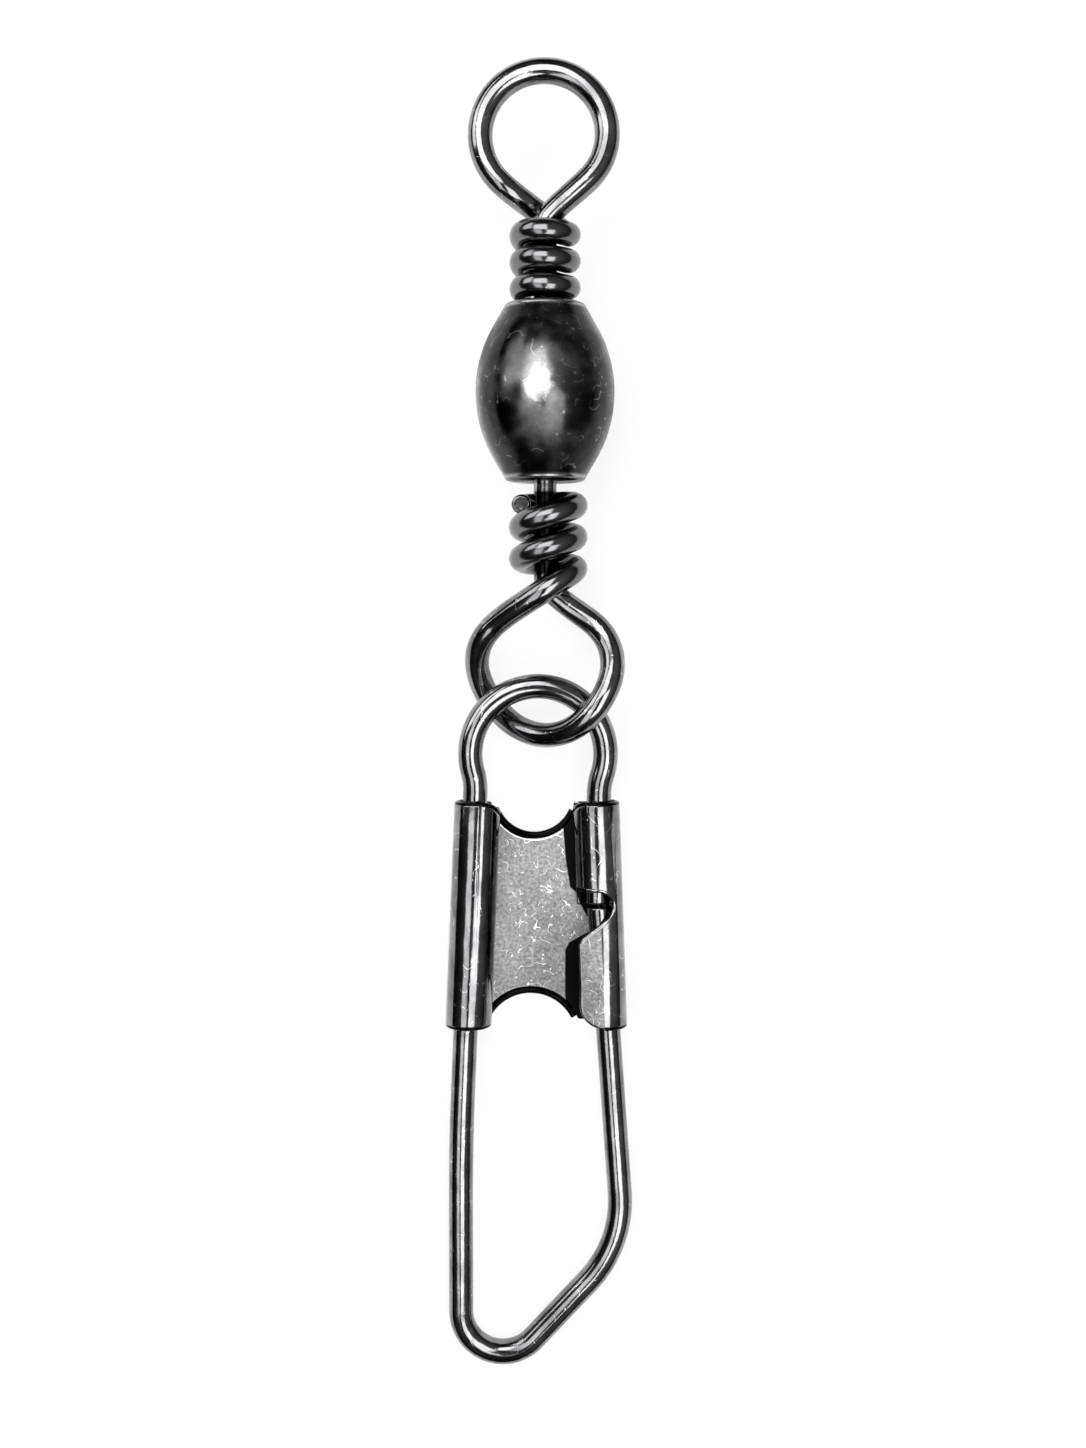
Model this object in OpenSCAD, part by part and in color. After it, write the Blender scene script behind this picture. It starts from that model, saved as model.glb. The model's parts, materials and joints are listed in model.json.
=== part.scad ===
// Fishing snap swivel: a barrel swivel with a wrapped wire eye at each end,
// and a sheet clasp snap whose sprung wire hangs in the lower eye.
// It lies as it comes to rest on a table: +Y is the long axis with the line eye
// at the top, +X is across, +Z is up, and the lowest point is at z = 0.

/* [Wire] */
// Diameter of the wire that both eyes are bent from
eye_wire_d = 1.22; // [1:0.02:1.4]
// Diameter of the shank that turns in the barrel
shank_d = 1.12; // [0.8:0.02:1.2]
// Diameter of the snap's wire
snap_wire_d = 1.22; // [0.9:0.02:1.4]

/* [Barrel] */
// Largest diameter of the barrel
barrel_d = 6.75; // [6:0.05:8]
// Length of the barrel between its two end rims
barrel_l = 8.1; // [7:0.1:10]
// Diameter of the rim at each end
rim_d = 4; // [3.6:0.1:4.6]
// How round the barrel's side is, from two cones at 0 to one arc at 1
side_round = 0.6; // [0.2:0.05:1]
// Height of the rounded end beyond the rim
dome_h = 0.3; // [0.15:0.05:0.5]
// Thickness of the barrel's side wall
barrel_wall = 0.6; // [0.4:0.05:0.8]
// Thickness of the barrel's end walls at the rim
end_wall = 0.7; // [0.5:0.05:1]
// Radial clearance of a shank in its bore
bore_clearance = 0.05; // [0.02:0.01:0.1]
// Diameter of the head that is upset on each shank
head_d = 2.5; // [2:0.1:2.7]
// Thickness of that head
head_h = 0.9; // [0.6:0.1:1.2]
// End play of a head behind its wall
head_play = 0.05; // [0.02:0.01:0.1]

/* [Upper eye] */
// Half width of the ring, along the middle of the wire
upper_rx = 3.05; // [2.6:0.05:3.6]
// Half height of the ring, along the middle of the wire
upper_ry = 2.97; // [2.6:0.01:3.6]
// Height of the ring's centre above the top of the coil
upper_reach = 4.12; // [3.9:0.02:4.6]
// Diameter that the wire is drawn down to where it is wound
upper_wound_d = 1.15; // [1.05:0.01:1.16]
// Rise of one turn of the coil
upper_pitch = 1.25; // [1.25:0.01:1.7]
// Gap between the coil and the barrel's rounded end
upper_gap = 0.05; // [0.05:0.01:0.5]
// Play of the coil round the shank
upper_play = 0.02; // [0.02:0.01:0.2]

/* [Lower eye] */
// Half width of the ring, along the middle of the wire
lower_rx = 3.5; // [3.3:0.05:3.8]
// Half height of the ring, along the middle of the wire
lower_ry = 3.18; // [3:0.02:3.6]
// Height of the ring's centre below the end of the coil
lower_reach = 4.5; // [4.2:0.05:5]
// Diameter that the wire is drawn down to where it is wound
lower_wound_d = 1.22; // [1.1:0.01:1.22]
// Diameter of the wire at its cut end, pinched by the cutter
lower_cut_d = 0.95; // [0.8:0.01:1.22]
// Rise of one turn of the coil
lower_pitch = 1.53; // [1.4:0.01:1.8]
// Gap between the coil and the barrel's rounded end
lower_gap = 0.42; // [0.05:0.01:0.6]
// Play of the coil round the shank
lower_play = 0.16; // [0.15:0.01:0.2]
// Twist of the ring about the swivel's axis, in degrees
lower_twist = 36; // [36:0.5:42]

/* [Snap wire] */
// Radius of the loop that hangs in the lower eye
loop_r = 3.35; // [3.2:0.05:3.6]
// Radius of the bends between that loop and the legs
waist_r = 3; // [2:0.1:4]
// Length of the snap below the clasp, to the middle of its lowest bend
nose_l = 16.65; // [14:0.05:22]
// Radius of the lowest bend
nose_r = 2.1; // [1.5:0.1:2.6]
// Angle of the slanted side, in degrees
nose_angle = 47; // [40:1:55]
// Radius of the shoulder between the slanted side and the arm
shoulder_r = 6; // [4:0.1:8]
// Gap between the wire's two ends inside the clasp
end_gap = 0.15; // [0.1:0.05:0.6]

/* [Clasp] */
// Thickness of the sheet
sheet_t = 0.26; // [0.2:0.02:0.3]
// Length of the clasp
clasp_l = 11.05; // [10:0.05:13]
// Outer radius of the two rolled sides
roll_r = 1.15; // [1.15:0.01:1.35]
// Distance between the two rolled sides at the top
clasp_w = 5.9; // [5.7:0.05:6.2]
// Lean of the left rolled side, in degrees
left_lean = 2.46; // [1:0.02:3]
// Lean of the right rolled side, in degrees
right_lean = 2.1; // [1:0.02:3]
// Radius of the round cut-out at the top of the web
top_scoop_r = 2.2; // [2:0.05:2.5]
// Radius of the round cut-out at the bottom of the web
low_scoop_r = 2.6; // [2.3:0.05:2.7]
// Radius of the notch that lets the arm out
notch_r = 0.85; // [0.75:0.05:0.95]
// Distance of the notch below the top of the clasp
notch_drop = 5.05; // [4.6:0.05:6]

/* [Hidden] */
$fn = 48;

plating = "#3b3b3e";
satin = "#8e8e91";
bright = "#55555a";

// The coil of each eye
wire_sides = 16;
coil_steps = 64;
upper_turn = 1000;
lower_turn = 990;
upper_flat = -1.35;
lower_flat = -0.62;
upper_coil_shift = 0;
upper_ring_shift = 0.07;
lower_coil_shift = -0.15;
lower_ring_shift = 0;
upper_tuck = 0;
lower_tuck = 0.4;
pinch_steps = 8;
taper_steps = 18;
tuck_turn = 180;
lead_rise = 0.5;
lead_turn = 90;
upper_leg = 47;
lower_leg = 42;
ring_step = 9;
leg_steps = 8;
upper_coil_pull = 1.4;
upper_front_pull = 2.5;
upper_back_pull = 2.8;
upper_shank_pull = 1;
lower_coil_pull = 2;
lower_front_pull = 2.5;
lower_back_pull = 2.5;
lower_shank_pull = 2.2;
ring_lean = 0.35;
wire_root = 0.3;
root_step = 0.03;
crossing_play = 0.05;

// The barrel
bore_r = shank_d / 2 + bore_clearance;
belly_rise = (barrel_d - rim_d) / 2;
belly_angle = atan(belly_rise / (barrel_l / 2)) * (1 + side_round);
belly_r = (barrel_l / 2 * sin(belly_angle) - belly_rise * cos(belly_angle)) / (1 - cos(belly_angle));
belly_x = barrel_d / 2 - belly_r;
belly_steps = 24;
dome_r = (pow(rim_d / 2, 2) + pow(dome_h, 2)) / (2 * dome_h);
cavity_l = barrel_l - 2 * end_wall;

// The link between the lower eye and the snap
link_u = 11.23;
link_lift = 0.1;
loop_x = -0.35;
loop_drop = 2.34;

// The snap, measured down from the link in the plane of its wire
clasp_top = 4.8;
clasp_drop = 0.12;
clasp_x = -0.4;
left_x = -clasp_w / 2 + clasp_x;
right_x = clasp_w / 2 + clasp_x;
left_bias = 0.13;
arm_top_bias = -0.03;
arm_end_bias = 0.18;
end_bias = -0.12;
knee_drop = 6.15;
knee_r = 130;
run_on = 0.03;
bend_step = 0.003;
clasp_end = clasp_top + clasp_l;
nose_y = -(clasp_end + nose_l);
roll_open = 35;
tab_w = 1.5;
notch_in = 0.15;
top_scoop_in = 0.13;
top_scoop_out = 0.36;
low_scoop_in = 0.33;
low_scoop_out = 0.98;
cut_over = 1;
big = 40;

// Where the swivel and the snap lie: the lower eye's lowest side, the barrel's belly
// and the snap's lowest bend all touch the table
swivel_l = link_u + barrel_l / 2;

// A coil: its turn, rise, unevenness, tuck, wire, play, shift and cut end; a ring: its half
// width and height, reach, shift and leg angle; the pulls: coil, front leg, back leg, shank
upper_coil = [upper_turn, upper_pitch, upper_flat, upper_tuck, upper_wound_d,
    upper_play, upper_coil_shift, upper_wound_d];
lower_coil = [lower_turn, lower_pitch, lower_flat, lower_tuck, lower_wound_d,
    lower_play, lower_coil_shift, lower_cut_d];
upper_ring = [upper_rx, upper_ry, upper_reach, upper_ring_shift, upper_leg];
lower_ring = [lower_rx, lower_ry, lower_reach, lower_ring_shift, lower_leg];
upper_pull = [upper_coil_pull, upper_front_pull, upper_back_pull, upper_shank_pull];
lower_pull = [lower_coil_pull, lower_front_pull, lower_back_pull, lower_shank_pull];
upper_top = coil_top(upper_coil, upper_gap);
lower_top = coil_top(lower_coil, lower_gap);
lower_line = eye_line(lower_coil, lower_ring, lower_pull, lower_top, lower_twist);
first_fall = eye_fall(0);
first_pitch = asin((barrel_d / 2 - first_fall) / swivel_l);
link_z = eye_fall(first_pitch);
swivel_pitch = asin((belly_r + belly_x * cos(first_pitch) - link_z) / swivel_l);
snap_pitch = asin((link_z + link_lift - snap_wire_d / 2) / -nose_y);
top_y = swivel_l + barrel_l / 2 + upper_top + upper_reach + upper_ry + eye_wire_d / 2;
mid_y = (top_y * cos(swivel_pitch) + (nose_y - snap_wire_d / 2) * cos(snap_pitch)) / 2;
mid_x = -0.3;

// How far the lower eye reaches below the link when the swivel is pitched down by a
function eye_fall(a) =
    eye_wire_d / 2
    + max([for (p = lower_line) -(link_u - p[1]) * sin(a) - p[2] * cos(a)]);

// Height of a coil at angle a, where 0 is in front of the shank, below its top
function coil_rise(coil, a) =
    let (tucked = max(0, (tuck_turn - coil[0] - a) / tuck_turn))
    coil[1] * (a - coil[2] * 180 / PI * sin(a)) / 360 + coil[3] * tucked * tucked;

// Distance of the middle of a coil's wire from the shank's axis
function coil_radius(coil) = (coil[4] + shank_d) / 2 + coil[5];

// Height above the barrel's rim at which the last turn passes in front of the shank,
// with the lowest turn a gap away from the barrel's rounded end
function coil_top(coil, gap) =
    dome_h - dome_r + sqrt(pow(dome_r + coil[4] / 2 + gap, 2) - pow(coil_radius(coil), 2))
    - min([for (i = [0 : coil_steps]) coil_rise(coil, -coil[0] * i / coil_steps)]);

function unit(v) = v / norm(v);

// Cubic curve from p to q that leaves along m and arrives along n
function ease(p, m, q, n, t) =
    (2 * t * t * t - 3 * t * t + 1) * p + (t * t * t - 2 * t * t + t) * m
    + (3 * t * t - 2 * t * t * t) * q + (t * t * t - t * t) * n;

// Point of the coil at angle a
function coil_point(coil, a, top) =
    let (
        r = coil_radius(coil),
        lead = a > -lead_turn ? pow((a + lead_turn) / lead_turn, 2) : 0,
        wide = max(r, eye_wire_d + crossing_play),
        rr = r + (wide - r) * lead
    )
    [
        rr * sin(a) + coil[6] * (1 - lead),
        top + coil_rise(coil, a) + lead_rise * lead,
        rr * cos(a)
    ];

function ring_point(ring, t, top) =
    let (a = -ring[4] + t * (180 + 2 * ring[4]))
    [ring[3] + ring[0] * cos(a), top + ring[2] + ring[1] * sin(a), ring_lean * (1 - t)];

// Turns a point about the swivel's axis by more the further out it lies
function twisted(p, from, to, angle) =
    let (
        q = min(1, max(0, (p[1] - from) / (to - from))),
        a = angle * q * q * (3 - 2 * q)
    )
    [p[0] * cos(a) + p[2] * sin(a), p[1], p[2] * cos(a) - p[0] * sin(a)];

// Middle line of an eye: the coil from its cut end, the leg that crosses in front,
// the ring, and the leg that bends into the shank
function eye_line(coil, ring, pull, top, twist) =
    let (
        turns = [for (i = [coil_steps : -1 : 0]) coil_point(coil, -coil[0] * i / coil_steps, top)],
        last = turns[coil_steps],
        away = unit(last - coil_point(coil, -1, top)),
        n = round((180 + 2 * ring[4]) / ring_step),
        round_part = [for (i = [0 : n]) ring_point(ring, i / n, top)],
        first_dir = unit(ring_point(ring, 0.01, top) - round_part[0]),
        last_dir = unit(round_part[n] - ring_point(ring, 0.99, top)),
        front_leg = [for (i = [1 : leg_steps - 1])
            ease(last, pull[0] * away, round_part[0], pull[1] * first_dir, i / leg_steps)],
        back_leg = [for (i = [1 : leg_steps])
            ease(round_part[n], pull[2] * last_dir, [0, top, 0], [0, -pull[3], 0], i / leg_steps)],
        flat_line = concat(turns, front_leg, round_part, back_leg, [[0, top - wire_root, 0]])
    )
    [for (p = flat_line) twisted(p, top + lead_rise, top + ring[2] + ring[1], twist)];

// Directions along a line of points, the last one straight down the shank
function directions(line) =
    let (n = len(line))
    [for (i = [0 : n - 1])
        i == n - 1 ? [0, -1, 0] : unit(line[min(n - 1, i + 1)] - line[max(0, i - 1)])];

// Side vectors along the line that turn as little as they can
function sides(dirs) =
    [for (i = 0, s = unit(cross(dirs[0], [0, 1, 0])); i < len(dirs);
        i = i + 1, s = i < len(dirs) ? unit(s - (s * dirs[i]) * dirs[i]) : s) s];

// Wire along a line of points, of diameter wound_d over the coil, cut_d at its cut end
// and root_d at its root
module swept_wire(line, cut_d, wound_d, root_d) {
    n = len(line);
    k = wire_sides;
    dirs = directions(line);
    side = sides(dirs);
    points = [for (i = [0 : n - 1])
        let (
            other = cross(dirs[i], side[i]),
            cut = max(0, 1 - i / pinch_steps),
            wound = max(0, min(1, 1 - (i - coil_steps) / taper_steps)),
            root = max(0, min(1, (i - n + 2 + leg_steps) / leg_steps)),
            r = (eye_wire_d + (cut_d - wound_d) * cut + (wound_d - eye_wire_d) * wound
                + (root_d - eye_wire_d) * root) / 2
        )
        for (j = [0 : k - 1])
            line[i] + r * (cos(360 * j / k) * side[i] + sin(360 * j / k) * other)];
    walls = [for (i = [0 : n - 2], j = [0 : k - 1])
        let (a = i * k + j, b = i * k + (j + 1) % k)
        each [[a, b + k, b], [a, a + k, b + k]]];
    first_cap = [for (j = [0 : k - 1]) j];
    last_cap = [for (j = [k - 1 : -1 : 0]) (n - 1) * k + j];
    polyhedron(points, concat(walls, [first_cap, last_cap]), convexity = 8);
}

// An eye with its coil and its headed shank, standing on the end of the barrel
module eye(coil, ring, pull, top, twist) {
    below = end_wall + head_play;
    color(plating) {
        swept_wire(eye_line(coil, ring, pull, top, twist),
            coil[7], coil[4], shank_d - root_step);
        translate([0, -below, 0])
            rotate([-90, 0, 0])
                cylinder(d = shank_d, h = top + below);
        translate([0, -below, 0])
            rotate([90, 0, 0])
                cylinder(d1 = head_d, d2 = head_d * 0.7, h = head_h);
    }
}

// Half profile of the barrel's side, running on beyond the axis, for rotation
module barrel_side() {
    half = barrel_l / 2;
    rim = rim_d / 2;
    polygon(concat(
        [[-rim, -half], [rim, -half]],
        [for (i = [-belly_steps : belly_steps])
            let (a = belly_angle * i / belly_steps)
            [belly_x + belly_r * cos(a), belly_r * sin(a)]],
        [[rim, half], [-rim, half]]
    ));
}

// Keeps what lies on one side of the axis
module barrel_half() {
    intersection() {
        children();
        translate([0, -big / 2])
            square(big);
    }
}

// One rounded end of the barrel's profile
module barrel_end(side) {
    intersection() {
        translate([0, side * (barrel_l / 2 + dome_h - dome_r)])
            circle(r = dome_r, $fn = 240);
        translate([0, side > 0 ? barrel_l / 2 : -barrel_l / 2 - dome_h])
            square([rim_d / 2, dome_h]);
    }
}

module barrel() {
    color(plating)
        in_swivel()
            translate([0, swivel_l, 0])
                rotate([-90, 0, 0])
                    difference() {
                        rotate_extrude($fn = 96) {
                            barrel_half()
                                barrel_side();
                            barrel_end(-1);
                            barrel_end(1);
                        }
                        rotate_extrude($fn = 96)
                            barrel_half()
                                intersection() {
                                    offset(delta = -barrel_wall)
                                        barrel_side();
                                    square([big, cavity_l], center = true);
                                }
                        cylinder(r = bore_r, h = barrel_l * 2, center = true);
                    }
}

module upper_eye() {
    in_swivel()
        translate([0, swivel_l + barrel_l / 2, 0])
            rotate([0, 180, 0])
                eye(upper_coil, upper_ring, upper_pull, upper_top, 0);
}

module lower_eye() {
    in_swivel()
        translate([0, link_u, 0])
            rotate([0, 0, 180])
                eye(lower_coil, lower_ring, lower_pull, lower_top, lower_twist);
}

// Straight wire between two points of the snap's plane, running on a little into
// the bends at its two ends
module rod(p, q) {
    v = q - p;
    over = unit(v) * run_on;
    translate([p[0] - over[0], p[1] - over[1], 0])
        rotate([0, 0, atan2(v[1], v[0])])
            rotate([0, 90, 0])
                cylinder(d = snap_wire_d, h = norm(v) + 2 * run_on);
}

// Bent wire about a centre, from angle a to angle b, a hair thinner than a straight
module bend(centre, r, a, b, hair = 1) {
    translate([centre[0], centre[1], 0])
        rotate([0, 0, min(a, b)])
            rotate_extrude(angle = abs(b - a), $fn = 96)
                translate([r, 0])
                    circle(r = snap_wire_d / 2 - hair * bend_step, $fn = 32);
}

function heading(v) = atan2(v[1], v[0]);

// Where the lines through p along d and through q along e meet
function crossing(p, d, q, e) =
    let (t = ((q[0] - p[0]) * e[1] - (q[1] - p[1]) * e[0]) / (d[0] * e[1] - d[1] * e[0]))
    p + t * d;

// Round corner of radius r at c, between points a and b: its centre and its two ends
function corner(a, c, b, r) =
    let (
        u = unit(a - c),
        v = unit(b - c),
        half = acos(u * v) / 2,
        along = r / tan(half)
    )
    [c + unit(u + v) * r / sin(half), c + along * u, c + along * v];

// Bend that eases the loop into a leg: its centre, its end on the loop and on the leg
function waist(centre, leg, dir, out) =
    let (
        w = leg + out * waist_r - centre,
        along = -(w * dir) + sqrt(pow(w * dir, 2) - w * w + pow(loop_r + waist_r, 2)),
        q = centre + w + dir * along
    )
    [q, centre + (q - centre) * loop_r / (loop_r + waist_r), q - out * waist_r];

module rounded_corner(k, hair = 1) {
    a = heading(k[1] - k[0]);
    b = heading(k[2] - k[0]);
    from = b - a > 180 ? a + 360 : a;
    to = a - b > 180 ? b + 360 : b;
    bend(k[0], norm(k[1] - k[0]), from, to, hair);
}

// Places along the axis of a rolled side, s below the top of the clasp
function left_axis(s) = [left_x - s * tan(left_lean), -clasp_top - s];
function right_axis(s) = [right_x + s * tan(right_lean), -clasp_top - s];

module snap_wire() {
    loop = [loop_x, -loop_drop];
    loop_over = run_on / loop_r * 180 / PI;
    left_in = left_axis(0) - [left_bias, 0];
    left_out = left_axis(clasp_l) - [left_bias, 0];
    left_dir = unit(left_out - left_in);
    left_waist = waist(loop, left_in, left_dir, [left_dir[1], -left_dir[0]]);
    knee = left_out + left_dir * knee_drop;
    end_top = right_axis(0) + [-end_bias, 0];
    end_low = right_axis(notch_drop - end_gap / 2) + [end_bias, 0];
    end_dir = unit(end_low - end_top);
    end_waist = waist(loop, end_top, end_dir, [-end_dir[1], end_dir[0]]);
    arm_top = right_axis(notch_drop + end_gap / 2) + [arm_top_bias, 0];
    arm_out = right_axis(clasp_l) + [arm_end_bias, 0];
    leg_foot = knee + [0, -big];
    slant = [cos(nose_angle), sin(nose_angle)];
    nose_mid = crossing([0, nose_y + nose_r], [1, 0], knee + [nose_r, 0], leg_foot - knee);
    slant_at = nose_mid + nose_r * [slant[1], -slant[0]];
    toe = crossing(knee, leg_foot - knee, slant_at, slant);
    shoulder = crossing(arm_top, arm_out - arm_top, slant_at, slant);
    knee_bend = corner(left_out, knee, toe, knee_r);
    nose_bend = corner(knee, toe, shoulder, nose_r);
    shoulder_bend = corner(toe, shoulder, arm_out, shoulder_r);
    color(bright)
        in_snap() {
            rod(end_low, end_waist[2]);
            rounded_corner([end_waist[0], end_waist[2], end_waist[1]], 2);
            bend(loop, loop_r, heading(end_waist[1] - loop) - loop_over,
                heading(left_waist[1] - loop) + 360 + loop_over);
            rounded_corner([left_waist[0], left_waist[1], left_waist[2]], 2);
            rod(left_waist[2], knee_bend[1]);
            rounded_corner(knee_bend);
            rod(knee_bend[2], nose_bend[1]);
            rounded_corner(nose_bend);
            rod(nose_bend[2], shoulder_bend[1]);
            rounded_corner(shoulder_bend);
            rod(shoulder_bend[2], arm_top);
        }
}

// Sheet rolled round the wire from the web's side, -90, up to angle to, with a tab
// that runs on along the web; the wire's side of the web is at +Y
module roll_outline(to) {
    difference() {
        circle(r = roll_r, $fn = 64);
        circle(r = roll_r - sheet_t, $fn = 64);
        polygon([
            [0, 0],
            [0, -big],
            [-big, -big],
            to < 180 ? [-big, big] : big * [cos(to), sin(to)],
            big * [cos(to), sin(to)]
        ]);
    }
    translate([-tab_w, -roll_r])
        square([tab_w, sheet_t]);
}

// The same with its last part running on flat over the web
module flap_outline() {
    roll_outline(90);
    translate([-roll_r, roll_r - sheet_t])
        square([roll_r, sheet_t]);
}

// Stretch of a rolled side from s to e below the top of the clasp
module along(s, e) {
    translate([0, -s, roll_r])
        rotate([90, 0, 0])
            linear_extrude(e - s)
                children();
}

// What is cut from a square corner to round it; the corner is at the origin, and
// the sheet lies towards -X and -Y
module corner_cut(r) {
    difference() {
        translate([-r, -r])
            square([r + big, r + big]);
        translate([-r, -r])
            circle(r = r);
    }
}

// The notch in the right rolled side, seen from the front
module notch_cut() {
    low = -54;
    tip = notch_r * [cos(low), sin(low)];
    run = roll_r + notch_r;
    circle(r = notch_r);
    polygon([
        [0, 0],
        tip,
        tip - run * [1, tan(90 + low)],
        [-run, notch_r + 0.1],
        [0, notch_r]
    ]);
}

module clasp_left() {
    translate([left_x, -clasp_top, 0])
        rotate([0, 0, -left_lean])
            difference() {
                along(0 - cut_over, clasp_l + cut_over)
                    mirror([1, 0])
                        roll_outline(180 + roll_open);
                translate([roll_r, 0, roll_r * 0.35])
                    linear_extrude(big)
                        corner_cut(top_scoop_r * 0.4);
            }
}

module clasp_right() {
    translate([right_x, -clasp_top, 0])
        rotate([0, 0, right_lean])
            difference() {
                union() {
                    along(0 - cut_over, notch_drop)
                        roll_outline(180 + roll_open);
                    along(notch_drop, clasp_l + cut_over)
                        flap_outline();
                }
                translate([-notch_in, -notch_drop, roll_r])
                    linear_extrude(big)
                        notch_cut();
                translate([-roll_r, 0, roll_r])
                    linear_extrude(big)
                        mirror([1, 0])
                            corner_cut(roll_r * 0.5);
                translate([-roll_r, -clasp_l, roll_r])
                    linear_extrude(big)
                        mirror([1, 0])
                            mirror([0, 1])
                                corner_cut(roll_r);
            }
}

// The flat web between the tabs of the two rolled sides
module web() {
    inner = tab_w * 0.6;
    linear_extrude(sheet_t)
        polygon([
            left_axis(-cut_over) + [inner, 0],
            right_axis(-cut_over) - [inner, 0],
            right_axis(clasp_l + cut_over) - [inner, 0],
            left_axis(clasp_l + cut_over) + [inner, 0]
        ]);
}

// The round cut-outs at the two ends of the web
module scoops() {
    depth = cut_over + roll_r * 0.35;
    translate([clasp_x - top_scoop_in, top_scoop_out - clasp_top, -cut_over])
        cylinder(r = top_scoop_r, h = depth, $fn = 96);
    translate([clasp_x - low_scoop_in, -low_scoop_out - clasp_end, -cut_over])
        cylinder(r = low_scoop_r, h = depth, $fn = 96);
}

module clasp() {
    color(satin)
        in_snap()
            translate([0, 0, -roll_r - clasp_drop])
                intersection() {
                    difference() {
                        union() {
                            clasp_left();
                            clasp_right();
                            web();
                        }
                        scoops();
                    }
                    translate([-big / 2, -clasp_end, -big / 2])
                        cube([big, clasp_l, big]);
                }
}

// Places the swivel: its origin is the link, and +Y runs up its axis
module in_swivel() {
    translate([-mid_x, -mid_y, link_z])
        rotate([swivel_pitch, 0, 0])
            children();
}

// Places the snap: its origin is the link, and its wire lies in the XY plane
module in_snap() {
    translate([-mid_x, -mid_y, link_z + link_lift])
        rotate([snap_pitch, 0, 0])
            children();
}

barrel();
upper_eye();
lower_eye();
snap_wire();
clasp();
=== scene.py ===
"""Looks of a fishing snap swivel: plated wire eyes, a hollow barrel and a sheet clasp snap."""

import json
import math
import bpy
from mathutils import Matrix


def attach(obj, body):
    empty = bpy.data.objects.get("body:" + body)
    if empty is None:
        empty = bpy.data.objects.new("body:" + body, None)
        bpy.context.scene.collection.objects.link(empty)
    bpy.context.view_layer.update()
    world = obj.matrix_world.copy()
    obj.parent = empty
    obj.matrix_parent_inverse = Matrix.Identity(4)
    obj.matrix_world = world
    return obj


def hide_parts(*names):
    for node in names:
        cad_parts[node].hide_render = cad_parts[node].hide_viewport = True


bl_info = {
    "name": "Snap Swivel Finish",
    "version": (1, 0, 0),
    "blender": (4, 5, 0),
    "location": "View3D > Sidebar > Swivel",
    "description": "Bends, presses and plates the pieces of a fishing snap swivel",
    "category": "Object",
}

import bpy
from mathutils import Matrix, Vector

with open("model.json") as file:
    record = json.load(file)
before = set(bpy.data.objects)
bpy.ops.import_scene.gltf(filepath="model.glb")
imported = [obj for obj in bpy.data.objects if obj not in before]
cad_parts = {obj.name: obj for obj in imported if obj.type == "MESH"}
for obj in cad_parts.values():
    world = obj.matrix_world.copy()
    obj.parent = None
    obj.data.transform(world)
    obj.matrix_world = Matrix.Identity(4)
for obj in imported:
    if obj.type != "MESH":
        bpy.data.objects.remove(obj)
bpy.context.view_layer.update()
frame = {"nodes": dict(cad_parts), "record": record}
MM = 0.001
IMAGE_W = 1086
IMAGE_H = 1448


# Settings

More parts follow.
